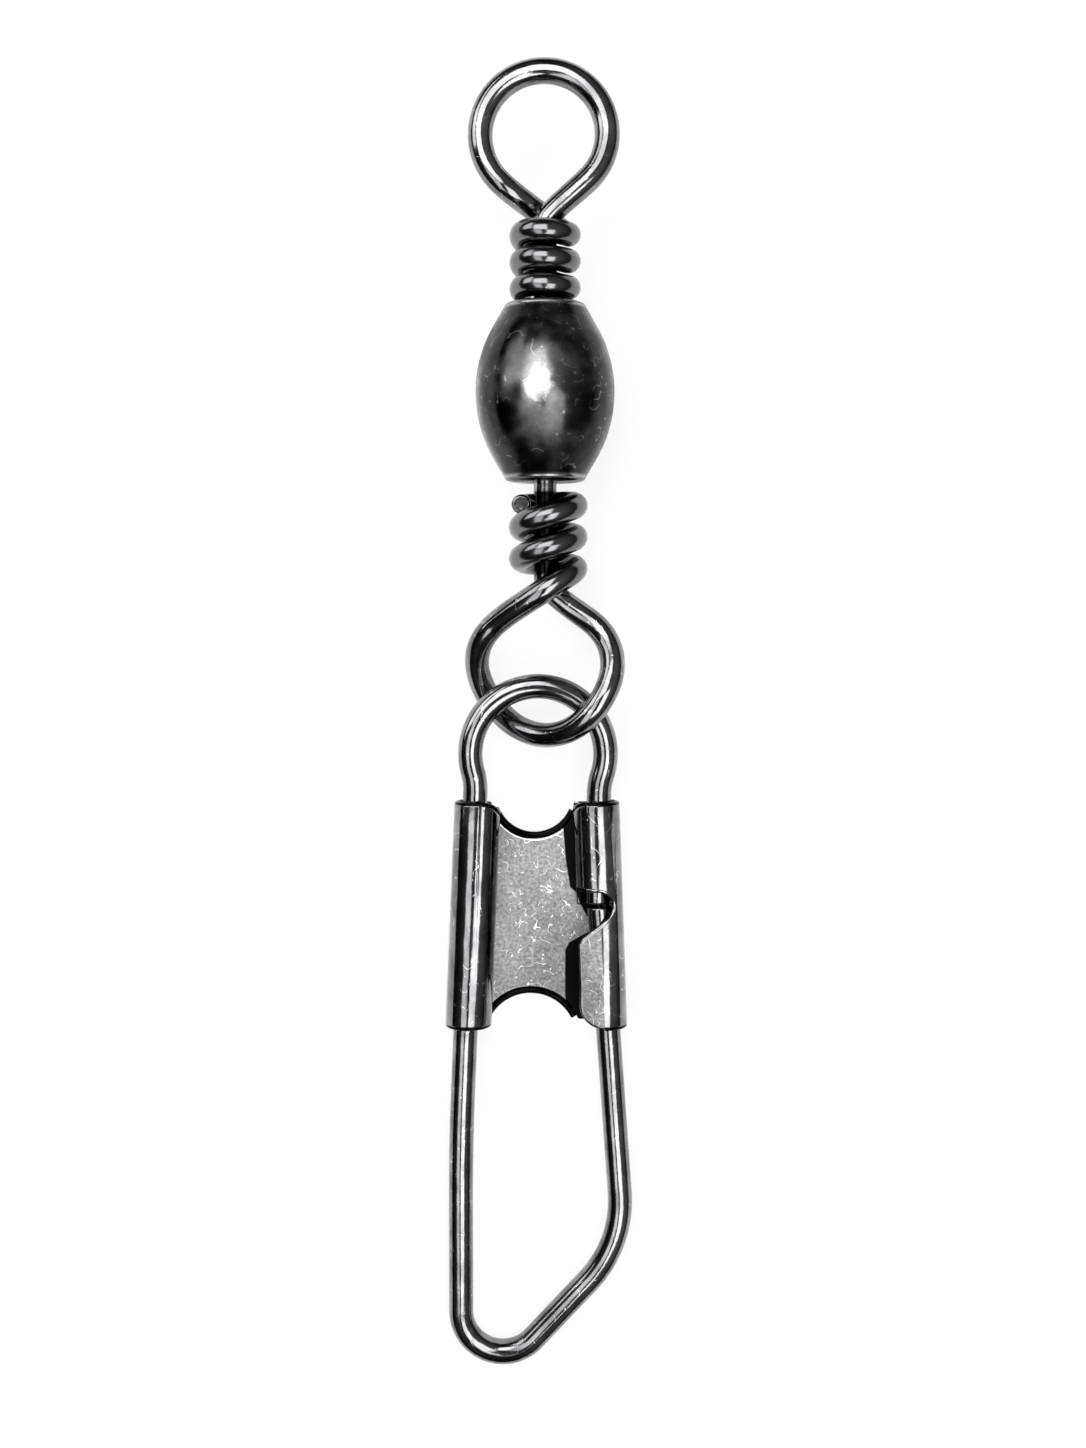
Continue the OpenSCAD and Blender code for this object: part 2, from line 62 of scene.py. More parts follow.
class EyeSizes(bpy.types.PropertyGroup):
    """How one eye is bent, in its own frame with the shank's axis along Y"""

    rx: bpy.props.FloatProperty(
        name="Ring half width", description="Half width of the ring, to the middle of the wire",
        default=3.05 * MM, unit="LENGTH", precision=5)
    ry: bpy.props.FloatProperty(
        name="Ring half height", description="Half height of the ring, to the middle of the wire",
        default=2.97 * MM, unit="LENGTH", precision=5)
    reach: bpy.props.FloatProperty(
        name="Reach", description="Height of the ring's centre above the top of the coil",
        default=4.12 * MM, unit="LENGTH", precision=5)
    ring_shift: bpy.props.FloatProperty(
        name="Ring shift", description="How far the ring stands beside the shank's axis",
        default=0.07 * MM, unit="LENGTH", precision=5)
    leg: bpy.props.FloatProperty(
        name="Leg angle", description="How far the ring runs on below its half height",
        default=math.radians(47), subtype="ANGLE")
    turn: bpy.props.FloatProperty(
        name="Coil turn", description="Turn of the wound tail, from its cut end to the crossing",
        default=math.radians(1000), subtype="ANGLE")
    pitch: bpy.props.FloatProperty(
        name="Pitch", description="Rise of one turn of the coil",
        default=1.25 * MM, unit="LENGTH", precision=5)
    flat: bpy.props.FloatProperty(
        name="Flat", description="How unevenly a turn rises on its way round",
        default=-1.35)
    tuck: bpy.props.FloatProperty(
        name="Tuck", description="How far the cut end is lifted from the barrel",
        default=0.0 * MM, unit="LENGTH", precision=5)
    gap: bpy.props.FloatProperty(
        name="Gap", description="Gap between the coil and the barrel's rounded end",
        default=0.05 * MM, unit="LENGTH", precision=5)
    play: bpy.props.FloatProperty(
        name="Play", description="Play of the coil round the shank",
        default=0.02 * MM, unit="LENGTH", precision=5)
    coil_shift: bpy.props.FloatProperty(
        name="Coil shift", description="How far the coil stands beside the shank's axis",
        default=0.0 * MM, unit="LENGTH", precision=5)
    wound_d: bpy.props.FloatProperty(
        name="Wound wire", description="Diameter of the wire where it is wound",
        default=1.15 * MM, unit="LENGTH", precision=5)
    cut_d: bpy.props.FloatProperty(
        name="Cut end", description="Diameter of the wire at its cut end",
        default=1.15 * MM, unit="LENGTH", precision=5)
    wire_d: bpy.props.FloatProperty(
        name="Wire", description="Diameter of the wire",
        default=1.22 * MM, unit="LENGTH", precision=5)
    shank_d: bpy.props.FloatProperty(
        name="Shank", description="Diameter of the shank",
        default=1.12 * MM, unit="LENGTH", precision=5)
    coil_pull: bpy.props.FloatProperty(
        name="Coil pull", description="How stiffly the front leg leaves the coil",
        default=1.4 * MM, unit="LENGTH", precision=5)
    front_pull: bpy.props.FloatProperty(
        name="Front pull", description="How stiffly the front leg runs into the ring",
        default=2.5 * MM, unit="LENGTH", precision=5)
    back_pull: bpy.props.FloatProperty(
        name="Back pull", description="How stiffly the back leg leaves the ring",
        default=2.8 * MM, unit="LENGTH", precision=5)
    shank_pull: bpy.props.FloatProperty(
        name="Shank pull", description="How stiffly the back leg runs into the shank",
        default=1.0 * MM, unit="LENGTH", precision=5)
    twist: bpy.props.FloatProperty(
        name="Twist", description="Turn of the ring about the shank's axis",
        default=math.radians(0), subtype="ANGLE")


class BarrelSizes(bpy.types.PropertyGroup):
    """The hollow barrel between the two eyes"""

    barrel_d: bpy.props.FloatProperty(
        name="Diameter", description="Diameter of the barrel's belly",
        default=6.75 * MM, unit="LENGTH", precision=5)
    barrel_l: bpy.props.FloatProperty(
        name="Length", description="Length of the barrel between its rims",
        default=8.1 * MM, unit="LENGTH", precision=5)
    rim_d: bpy.props.FloatProperty(
        name="Rim", description="Diameter of the barrel at its rims",
        default=4.0 * MM, unit="LENGTH", precision=5)
    side_round: bpy.props.FloatProperty(
        name="Side roundness", description="How round the side is, from 0 for two cones",
        default=0.6)
    dome_h: bpy.props.FloatProperty(
        name="Dome", description="Height of each rounded end",
        default=0.245 * MM, unit="LENGTH", precision=5)
    wall: bpy.props.FloatProperty(
        name="Wall", description="Thickness of the side wall",
        default=0.6 * MM, unit="LENGTH", precision=5)
    bore_r: bpy.props.FloatProperty(
        name="Bore", description="Radius of the hole in each end",
        default=0.61 * MM, unit="LENGTH", precision=5)


class SnapSizes(bpy.types.PropertyGroup):
    """How the snap's wire is bent, in its own plane, measured from the link"""

    wire_d: bpy.props.FloatProperty(
        name="Wire", description="Diameter of the wire",
        default=1.22 * MM, unit="LENGTH", precision=5)
    loop_r: bpy.props.FloatProperty(
        name="Loop", description="Radius of the loop that hangs in the eye",
        default=3.35 * MM, unit="LENGTH", precision=5)
    waist_r: bpy.props.FloatProperty(
        name="Waist", description="Radius of the bends between the loop and the legs",
        default=3.0 * MM, unit="LENGTH", precision=5)
    knee_r: bpy.props.FloatProperty(
        name="Knee", description="Radius of the slight bend below the clasp",
        default=130.0 * MM, unit="LENGTH", precision=5)
    nose_r: bpy.props.FloatProperty(
        name="Nose", description="Radius of the lowest bend",
        default=2.1 * MM, unit="LENGTH", precision=5)
    shoulder_r: bpy.props.FloatProperty(
        name="Shoulder", description="Radius of the bend between the slanted side and the arm",
        default=6.0 * MM, unit="LENGTH", precision=5)
    nose_angle: bpy.props.FloatProperty(
        name="Slant", description="Angle of the slanted side",
        default=math.radians(47), subtype="ANGLE")
    sheet_t: bpy.props.FloatProperty(
        name="Sheet", description="Thickness of the clasp's sheet",
        default=0.26 * MM, unit="LENGTH", precision=5)
    edge_round: bpy.props.FloatProperty(
        name="Edge rounding", description="Radius of the cut edges of the sheet",
        default=0.09 * MM, unit="LENGTH", precision=5)


class FinishSettings(bpy.types.PropertyGroup):
    """Colours of the plated metal"""

    wire: bpy.props.FloatVectorProperty(
        name="Wire plating", description="Colour of the polished wires",
        subtype="COLOR", size=3, min=0, max=1, default=(0.23, 0.23, 0.235))
    # Deep wire colour: random darker patches, and the painted shade that darkens the coil
    wire_deep_and_coil_shade: bpy.props.FloatVectorProperty(
        name="Deep wire plating", description="Colour of the wires where the plating is thick",
        subtype="COLOR", size=3, min=0, max=1, default=(0.13, 0.13, 0.134))
    barrel: bpy.props.FloatVectorProperty(
        name="Barrel plating", description="Colour of the barrel's black plating",
        subtype="COLOR", size=3, min=0, max=1, default=(0.058, 0.058, 0.06))
    barrel_deep: bpy.props.FloatVectorProperty(
        name="Deep barrel plating", description="Colour of the barrel where the plating is thick",
        subtype="COLOR", size=3, min=0, max=1, default=(0.03, 0.03, 0.031))
    # Worn plating, also a painted highlight: its spot lies where the overhead highlight falls
    worn: bpy.props.FloatVectorProperty(
        name="Worn plating", description="Colour of the barrel where it is worn bright",
        subtype="COLOR", size=3, min=0, max=1, default=(0.45, 0.45, 0.45))
    # The rims are lightened as worn plating and as a painted light line
    rim_worn_and_sheen: bpy.props.FloatVectorProperty(
        name="Worn rim", description="Colour of the barrel's rims, rubbed thin",
        subtype="COLOR", size=3, min=0, max=1, default=(0.3, 0.3, 0.3))
    # Painted shade: the near-black colour painted on the shank between the coil's turns, beside the clasp's rolled side
    # and on the clasp's edges
    painted_shade: bpy.props.FloatVectorProperty(
        name="Black plating", description="Colour of the plating in corners that nothing rubs",
        subtype="COLOR", size=3, min=0, max=1, default=(0.004, 0.004, 0.004))
    edge: bpy.props.FloatVectorProperty(
        name="Cut edge", description="Colour of the sheet's rounded cut edges",
        subtype="COLOR", size=3, min=0, max=1, default=(0.25, 0.25, 0.253))
    satin: bpy.props.FloatVectorProperty(
        name="Satin", description="Colour of the pressed sheet's face",
        subtype="COLOR", size=3, min=0, max=1, default=(0.34, 0.34, 0.345))
    satin_deep: bpy.props.FloatVectorProperty(
        name="Deep satin", description="Colour of the face where it is darker",
        subtype="COLOR", size=3, min=0, max=1, default=(0.24, 0.24, 0.243))
    # Also the colour of the painted highlight line beside the clasp's round cut-outs
    scratch: bpy.props.FloatVectorProperty(
        name="Scratch", description="Colour of the bare metal in a scratch",
        subtype="COLOR", size=3, min=0, max=1, default=(1.0, 1.0, 1.0))


class StageSettings(bpy.types.PropertyGroup):
    """The floor, the light panels, the room and the camera"""

    camera_height: bpy.props.FloatProperty(
        name="Camera height", description="Height of the camera above the floor",
        default=78 * MM, unit="LENGTH", precision=5)
    camera_x: bpy.props.FloatProperty(
        name="Camera X", description="The camera's place across the swivel",
        default=0.2 * MM, unit="LENGTH", precision=5)
    camera_y: bpy.props.FloatProperty(
        name="Camera Y", description="The camera's place along the swivel",
        default=0.2114 * MM, unit="LENGTH", precision=5)
    pixels_per_slope: bpy.props.FloatProperty(
        name="Focal length in pixels", description="Focal length in pixels of the full image",
        default=1536.0)
    floor_colour: bpy.props.FloatVectorProperty(
        name="Floor", description="Colour of the floor",
        subtype="COLOR", size=3, min=0, max=1, default=(0.96, 0.96, 0.96))
    floor_seen: bpy.props.FloatProperty(
        name="Floor seen", description="Share of plain white in the floor as the camera sees it",
        default=0.86)
    floor_mirrored: bpy.props.FloatProperty(
        name="Floor mirrored", description="Share of plain white in the floor as metal shows it",
        default=0.13)
    panel_glow: bpy.props.FloatProperty(
        name="Panel brightness", description="Brightness of the light panels",
        default=4.6)
    room_glow: bpy.props.FloatProperty(
        name="Room brightness", description="Brightness of the room round the panels",
        default=0.6)


# Small tools

def deselect():
    bpy.ops.object.select_all(action="DESELECT")


def make_active(piece):
    deselect()
    piece.select_set(True)
    bpy.context.view_layer.objects.active = piece


def set_material(piece, material):
    piece.data.materials.clear()
    piece.data.materials.append(material)


def finish_piece(piece, body, slot, material, *nodes):
    set_material(piece, material)
    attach(piece, body)
    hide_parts(*nodes)


# Shader tools

def node(tree, kind, place, **values):
    made = tree.nodes.new(kind)
    made.location = place
    for key, value in values.items():
        setattr(made, key, value)
    return made


def link(tree, source, target):
    tree.links.new(source, target)


def new_group(name, inputs, outputs):
    tree = bpy.data.node_groups.new(name, "ShaderNodeTree")
    for label, kind, default in inputs:
        socket = tree.interface.new_socket(name=label, in_out="INPUT", socket_type=kind)
        if default is not None:
            socket.default_value = default
    for label, kind in outputs:
        tree.interface.new_socket(name=label, in_out="OUTPUT", socket_type=kind)
    start = node(tree, "NodeGroupInput", (-1200, 0))
    end = node(tree, "NodeGroupOutput", (900, 0))
    return tree, start, end


def ramp(tree, place, stops):
    made = node(tree, "ShaderNodeValToRGB", place)
    elements = made.color_ramp.elements
    elements[0].position, elements[1].position = stops[0][0], stops[-1][0]
    elements[0].color = (*[stops[0][1]] * 3, 1)
    elements[1].color = (*[stops[-1][1]] * 3, 1)
    for position, value in stops[1:-1]:
        elements.new(position).color = (value, value, value, 1)
    return made


def noise(tree, place, vector, scale, detail=3.0, rough=0.55, distortion=0.0):
    made = node(tree, "ShaderNodeTexNoise", place)
    made.inputs["Scale"].default_value = scale
    made.inputs["Detail"].default_value = detail
    made.inputs["Roughness"].default_value = rough
    made.inputs["Distortion"].default_value = distortion
    if vector is not None:
        link(tree, vector, made.inputs["Vector"])
    return made


def math_node(tree, place, operation, a, b=None, clamp=False):
    made = node(tree, "ShaderNodeMath", place, operation=operation, use_clamp=clamp)
    for socket, value in zip(made.inputs, (a, b)):
        if value is None:
            continue
        if hasattr(value, "links"):
            link(tree, value, socket)
        else:
            socket.default_value = value
    return made.outputs[0]


def mix_colour(tree, place, factor, a, b):
    made = node(tree, "ShaderNodeMix", place, data_type="RGBA")
    link(tree, factor, made.inputs["Factor"])
    for socket, value in ((made.inputs[6], a), (made.inputs[7], b)):
        if hasattr(value, "links"):
            link(tree, value, socket)
        else:
            socket.default_value = (*value, 1)
    return made.outputs[2]


def handled_metal_group():
    """Waves, draw marks, grain, pits and scratches of worked metal, from a place in metres"""
    tree, start, end = new_group(
        "Handled metal",
        [("Place", "NodeSocketVector", None),
         ("Stretch", "NodeSocketVector", (1.0, 1.0, 1.0)),
         ("Wave size", "NodeSocketFloat", 900.0),
         ("Mark size", "NodeSocketFloat", 4000.0),
         ("Grain size", "NodeSocketFloat", 9000.0),
         ("Pit size", "NodeSocketFloat", 2600.0),
         ("Scratch size", "NodeSocketFloat", 900.0)],
        [("Waves", "NodeSocketFloat"), ("Marks", "NodeSocketFloat"), ("Grain", "NodeSocketFloat"),
         ("Pits", "NodeSocketFloat"), ("Scratches", "NodeSocketFloat")])
    place = start.outputs["Place"]
    waves = noise(tree, (-900, 400), place, 900.0, 2.0)
    link(tree, start.outputs["Wave size"], waves.inputs["Scale"])
    link(tree, waves.outputs["Fac"], end.inputs["Waves"])
    drawn = node(tree, "ShaderNodeVectorMath", (-1050, 650), operation="MULTIPLY")
    link(tree, place, drawn.inputs[0])
    link(tree, start.outputs["Stretch"], drawn.inputs[1])
    marks = noise(tree, (-900, 650), drawn.outputs["Vector"], 4000.0, 3.0, 0.6)
    link(tree, start.outputs["Mark size"], marks.inputs["Scale"])
    link(tree, marks.outputs["Fac"], end.inputs["Marks"])
    grain = noise(tree, (-900, 150), place, 9000.0, 4.0, 0.65)
    link(tree, start.outputs["Grain size"], grain.inputs["Scale"])
    link(tree, grain.outputs["Fac"], end.inputs["Grain"])
    cells = node(tree, "ShaderNodeTexVoronoi", (-900, -100), feature="F1")
    link(tree, place, cells.inputs["Vector"])
    link(tree, start.outputs["Pit size"], cells.inputs["Scale"])
    spots = ramp(tree, (-650, -100), [(0.0, 1.0), (0.1, 1.0), (0.19, 0.0)])
    link(tree, cells.outputs["Distance"], spots.inputs["Fac"])
    sparse = noise(tree, (-900, -350), place, 1300.0, 2.0)
    chosen = ramp(tree, (-650, -350), [(0.5, 0.0), (0.62, 1.0)])
    link(tree, sparse.outputs["Fac"], chosen.inputs["Fac"])
    pits = math_node(tree, (-350, -200), "MULTIPLY", spots.outputs["Color"], chosen.outputs["Color"])
    link(tree, pits, end.inputs["Pits"])
    warp = noise(tree, (-1000, -650), place, 500.0, 2.0, 0.5)
    bent = node(tree, "ShaderNodeMix", (-780, -650), data_type="VECTOR")
    bent.inputs["Factor"].default_value = 0.0012
    link(tree, place, bent.inputs[4])
    link(tree, warp.outputs["Color"], bent.inputs[5])
    lines = noise(tree, (-560, -650), bent.outputs[1], 900.0, 1.0, 0.4)
    link(tree, start.outputs["Scratch size"], lines.inputs["Scale"])
    thin = ramp(tree, (-350, -650), [(0.49, 0.0), (0.498, 1.0), (0.502, 1.0), (0.51, 0.0)])
    link(tree, lines.outputs["Fac"], thin.inputs["Fac"])
    patchy = noise(tree, (-560, -900), place, 1500.0, 3.0)
    broken = ramp(tree, (-350, -900), [(0.5, 0.0), (0.57, 1.0)])
    link(tree, patchy.outputs["Fac"], broken.inputs["Fac"])
    scratches = math_node(tree, (-50, -700), "MULTIPLY", thin.outputs["Color"], broken.outputs["Color"])
    link(tree, scratches, end.inputs["Scratches"])
    return tree


def plated_metal(name, group, settings, place_socket, look):
    """A plated metal: look holds its numbers by name"""
    material = bpy.data.materials.new(name)
    material.use_nodes = True
    tree = material.node_tree
    shader = tree.nodes["Principled BSDF"]
    shader.inputs["Metallic"].default_value = 1.0
    place = place_socket(tree)
    worked = node(tree, "ShaderNodeGroup", (-900, 0), node_tree=group, name="Worked")
    link(tree, place, worked.inputs["Place"])
    worked.inputs["Stretch"].default_value = look["stretch"]
    for key in ("Wave size", "Mark size", "Grain size", "Pit size", "Scratch size"):
        worked.inputs[key].default_value = look[key]
    cloud = ramp(tree, (-650, 350), look["clouds"])
    link(tree, worked.outputs["Waves"], cloud.inputs["Fac"])
    body = mix_colour(tree, (-350, 350), cloud.outputs["Color"], look["deep"], look["colour"])
    speckle = ramp(tree, (-650, 550), [(0.35, 1 - look["speckle"]), (0.65, 1.0)])
    link(tree, worked.outputs["Marks"], speckle.inputs["Fac"])
    body = mix_colour(tree, (-200, 450), speckle.outputs["Color"], (0, 0, 0), body)
    flaws = math_node(tree, (-500, 100), "MAXIMUM", worked.outputs["Scratches"], worked.outputs["Pits"])
    flaws = math_node(tree, (-350, 100), "MULTIPLY", flaws, look["scratch share"])
    colour = mix_colour(tree, (-100, 250), flaws, body, settings.scratch)
    link(tree, colour, shader.inputs["Base Color"])
    rough = math_node(tree, (-350, -100), "MULTIPLY", worked.outputs["Marks"], look["rough spread"])
    rough = math_node(tree, (-150, -100), "ADD", rough, look["rough"])
    hazy = math_node(tree, (-350, -230), "MULTIPLY", cloud.outputs["Color"], look["cloud rough"])
    rough = math_node(tree, (50, -150), "ADD", rough, hazy)
    link(tree, rough, shader.inputs["Roughness"])
    heights = (("Waves", "wave height"), ("Marks", "mark height"), ("Grain", "grain height"),
               ("Pits", "pit depth"), ("Scratches", "scratch depth"))
    height = None
    for index, (output, key) in enumerate(heights):
        part = math_node(tree, (-650, -300 - 150 * index), "MULTIPLY", worked.outputs[output], look[key] / MM)
        height = part if height is None else math_node(tree, (-400, -300 - 150 * index), "ADD", height, part)
    bump = node(tree, "ShaderNodeBump", (100, -400))
    bump.inputs["Strength"].default_value = 1.0
    bump.inputs["Distance"].default_value = MM
    link(tree, height, bump.inputs["Height"])
    link(tree, bump.outputs["Normal"], shader.inputs["Normal"])
    return material


def attribute_tint(material, name, tint, place):
    """Mixes a colour in where an attribute of the mesh is high"""
    tree = material.node_tree
    shader = tree.nodes["Principled BSDF"]
    share = node(tree, "ShaderNodeAttribute", place, attribute_name=name).outputs["Fac"]
    below = shader.inputs["Base Color"].links[0].from_socket
    colour = mix_colour(tree, (place[0] + 300, place[1]), share, below, tint)
    link(tree, colour, shader.inputs["Base Color"])


def dull_where(material, name, amount):
    """Makes the skin rougher where an attribute of the mesh is high"""
    tree = material.node_tree
    shader = tree.nodes["Principled BSDF"]
    share = node(tree, "ShaderNodeAttribute", (-300, -900), attribute_name=name).outputs["Fac"]
    more = math_node(tree, (-100, -900), "MULTIPLY", share, amount)
    below = shader.inputs["Roughness"].links[0].from_socket
    link(tree, math_node(tree, (50, -800), "ADD", below, more), shader.inputs["Roughness"])


def worn_highlight_patch(material, settings, spot, size):
    """Lets the bare metal show through round a spot, with a ragged edge: worn plating, set where the overhead highlight
    falls, so that it is also a painted highlight
    """
    tree = material.node_tree
    shader = tree.nodes["Principled BSDF"]
    place = object_place(tree)
    centred = node(tree, "ShaderNodeMapping", (-1000, 900), vector_type="POINT")
    centred.inputs["Location"].default_value = [-v / s for v, s in zip(spot, size)]
    centred.inputs["Scale"].default_value = [1 / s for s in size]
    link(tree, place, centred.inputs["Vector"])
    reach = node(tree, "ShaderNodeVectorMath", (-800, 900), operation="LENGTH")
    link(tree, centred.outputs["Vector"], reach.inputs[0])
    ragged = noise(tree, (-800, 700), place, 1100.0, 5.0, 0.6)
    shift = math_node(tree, (-600, 700), "MULTIPLY", ragged.outputs["Fac"], 2.6)
    edge = math_node(tree, (-450, 850), "ADD", reach.outputs["Value"], shift)
    bare = ramp(tree, (-300, 850), [(0.0, 1.0), (0.43, 1.0), (0.49, 0.36), (0.64, 0.13), (0.95, 0.0)])
    edge = math_node(tree, (-380, 700), "MULTIPLY", edge, 0.2)
    link(tree, edge, bare.inputs["Fac"])
    below = shader.inputs["Base Color"].links[0].from_socket
    colour = mix_colour(tree, (60, 500), bare.outputs["Color"], below, settings.worn)
    link(tree, colour, shader.inputs["Base Color"])


def paint_shadow_beside_roll(material, deep):
    """Painted shadow on the web and the roll's foot, beside the clasp's rolled right side"""
    tree = material.node_tree
    shader = tree.nodes["Principled BSDF"]
    split = node(tree, "ShaderNodeSeparateXYZ", (-1000, 1200))
    link(tree, object_place(tree), split.inputs["Vector"])
    along = node(tree, "ShaderNodeMapRange", (-800, 1350), clamp=True)
    along.inputs["From Min"].default_value = SHADOW_LINE[0][0] * MM
    along.inputs["From Max"].default_value = SHADOW_LINE[-1][0] * MM
    link(tree, split.outputs["Y"], along.inputs["Value"])
    span = SHADOW_LINE[-1][0] - SHADOW_LINE[0][0]
    line = ramp(tree, (-600, 1350), [((y - SHADOW_LINE[0][0]) / span, x / 5) for y, x in SHADOW_LINE])
    link(tree, along.outputs["Result"], line.inputs["Fac"])
    edge = math_node(tree, (-350, 1350), "MULTIPLY", line.outputs["Color"], 5 * MM)
    past = math_node(tree, (-200, 1350), "SUBTRACT", split.outputs["X"], edge)
    past = math_node(tree, (-50, 1350), "DIVIDE", past, 0.03 * MM, clamp=True)
    low = math_node(tree, (-350, 1150), "SUBTRACT", SHADOW_TOP, split.outputs["Z"])
    low = math_node(tree, (-200, 1150), "DIVIDE", low, 0.05 * MM, clamp=True)
    near = math_node(tree, (-350, 1000), "SUBTRACT", SHADOW_END, split.outputs["X"])
    near = math_node(tree, (-200, 1000), "DIVIDE", near, 0.1 * MM, clamp=True)
    mask = math_node(tree, (50, 1250), "MULTIPLY", past, low)
    mask = math_node(tree, (200, 1150), "MULTIPLY", mask, near)
    below = shader.inputs["Base Color"].links[0].from_socket
    colour = mix_colour(tree, (350, 700), mask, below, deep)
    link(tree, colour, shader.inputs["Base Color"])


def paint_highlight_rims(material, tint):
    """Paints a highlight: a thin bright line on the pressed face beside each round cut-out"""
    tree = material.node_tree
    shader = tree.nodes["Principled BSDF"]
    flat = node(tree, "ShaderNodeVectorMath", (-1000, 1100), operation="MULTIPLY")
    link(tree, object_place(tree), flat.inputs[0])
    flat.inputs[1].default_value = (1.0, 1.0, 0.0)
    for index, (spot, radius, start, end) in enumerate(SCOOPS):
        middle = snap_place() @ Vector((spot[0] * MM, spot[1] * MM, 0))
        reach = node(tree, "ShaderNodeVectorMath", (-800, 1100 + 200 * index), operation="DISTANCE")
        link(tree, flat.outputs["Vector"], reach.inputs[0])
        reach.inputs[1].default_value = (middle.x, middle.y, 0.0)
        rim = node(tree, "ShaderNodeMapRange", (-600, 1100 + 200 * index), clamp=True)
        rim.inputs["From Min"].default_value = radius * MM + HIGHLIGHT_LINE * 0.6
        rim.inputs["From Max"].default_value = radius * MM + HIGHLIGHT_LINE
        rim.inputs["To Min"].default_value = 1.0
        rim.inputs["To Max"].default_value = 0.0
        link(tree, reach.outputs["Value"], rim.inputs["Value"])
        below = shader.inputs["Base Color"].links[0].from_socket
        link(tree, mix_colour(tree, (100 + 200 * index, 900), rim.outputs["Result"], below, tint),
             shader.inputs["Base Color"])


def object_place(tree):
    return node(tree, "ShaderNodeTexCoord", (-1150, 0)).outputs["Object"]


def wire_place(tree):
    """Place along and round a bent wire, stored on its mesh"""
    return node(tree, "ShaderNodeAttribute", (-1150, 0), attribute_name="wire_place").outputs["Vector"]


# The eyes

COIL_STEPS = 64
LEG_STEPS = 8
PINCH_STEPS = 8
TAPER_STEPS = 18
RING_STEP = math.radians(9)
TUCK_TURN = math.pi
LEAD_TURN = math.pi / 2
LEAD_RISE = 0.5 * MM
RING_LEAN = 0.35 * MM
CROSSING_PLAY = 0.05 * MM
DOME_H = 0.3 * MM
DOME_R = 6.8167 * MM
WIRE_ROOT = 0.3 * MM
COIL_FOOT = 0.75 * MM
HEAD_TOP = 0.75 * MM
HEAD_D = 2.5 * MM
HEAD_H = 0.9 * MM


def coil_rise(eye, a):
    """Height of the coil at an angle, where 0 is in front of the shank, below its top"""
    tucked = max(0.0, (TUCK_TURN - eye.turn - a) / TUCK_TURN)
    return eye.pitch * (a - eye.flat * math.sin(a)) / math.tau + eye.tuck * tucked * tucked


def coil_radius(eye):
    return (eye.wound_d + eye.shank_d) / 2 + eye.play


def coil_top(eye):
    """Height of the crossing above the barrel's rim, with the lowest turn a gap above its dome"""
    over = DOME_R + eye.wound_d / 2 + eye.gap
    lowest = min(coil_rise(eye, -eye.turn * i / COIL_STEPS) for i in range(COIL_STEPS + 1))
    return DOME_H - DOME_R + math.sqrt(over ** 2 - coil_radius(eye) ** 2) - lowest


def ease(p, m, q, n, t):
    return ((2 * t ** 3 - 3 * t ** 2 + 1) * p + (t ** 3 - 2 * t ** 2 + t) * m
            + (3 * t ** 2 - 2 * t ** 3) * q + (t ** 3 - t ** 2) * n)


def coil_point(eye, a, top):
    radius = coil_radius(eye)
    lead = max(0.0, (a + LEAD_TURN) / LEAD_TURN) ** 2
    wide = max(radius, eye.wire_d + CROSSING_PLAY)
    r = radius + (wide - radius) * lead
    return Vector((
        r * math.sin(a) + eye.coil_shift * (1 - lead),
        top + coil_rise(eye, a) + LEAD_RISE * lead,
        r * math.cos(a),
    ))


def ring_point(eye, t, middle):
    a = -eye.leg + t * (math.pi + 2 * eye.leg)
    return Vector((eye.ring_shift + eye.rx * math.cos(a), middle + eye.ry * math.sin(a), RING_LEAN * (1 - t)))


def twisted(eye, p, start, end):
    q = min(1.0, max(0.0, (p.y - start) / (end - start)))
    a = eye.twist * q * q * (3 - 2 * q)
    return Vector((p.x * math.cos(a) + p.z * math.sin(a), p.y, p.z * math.cos(a) - p.x * math.sin(a)))


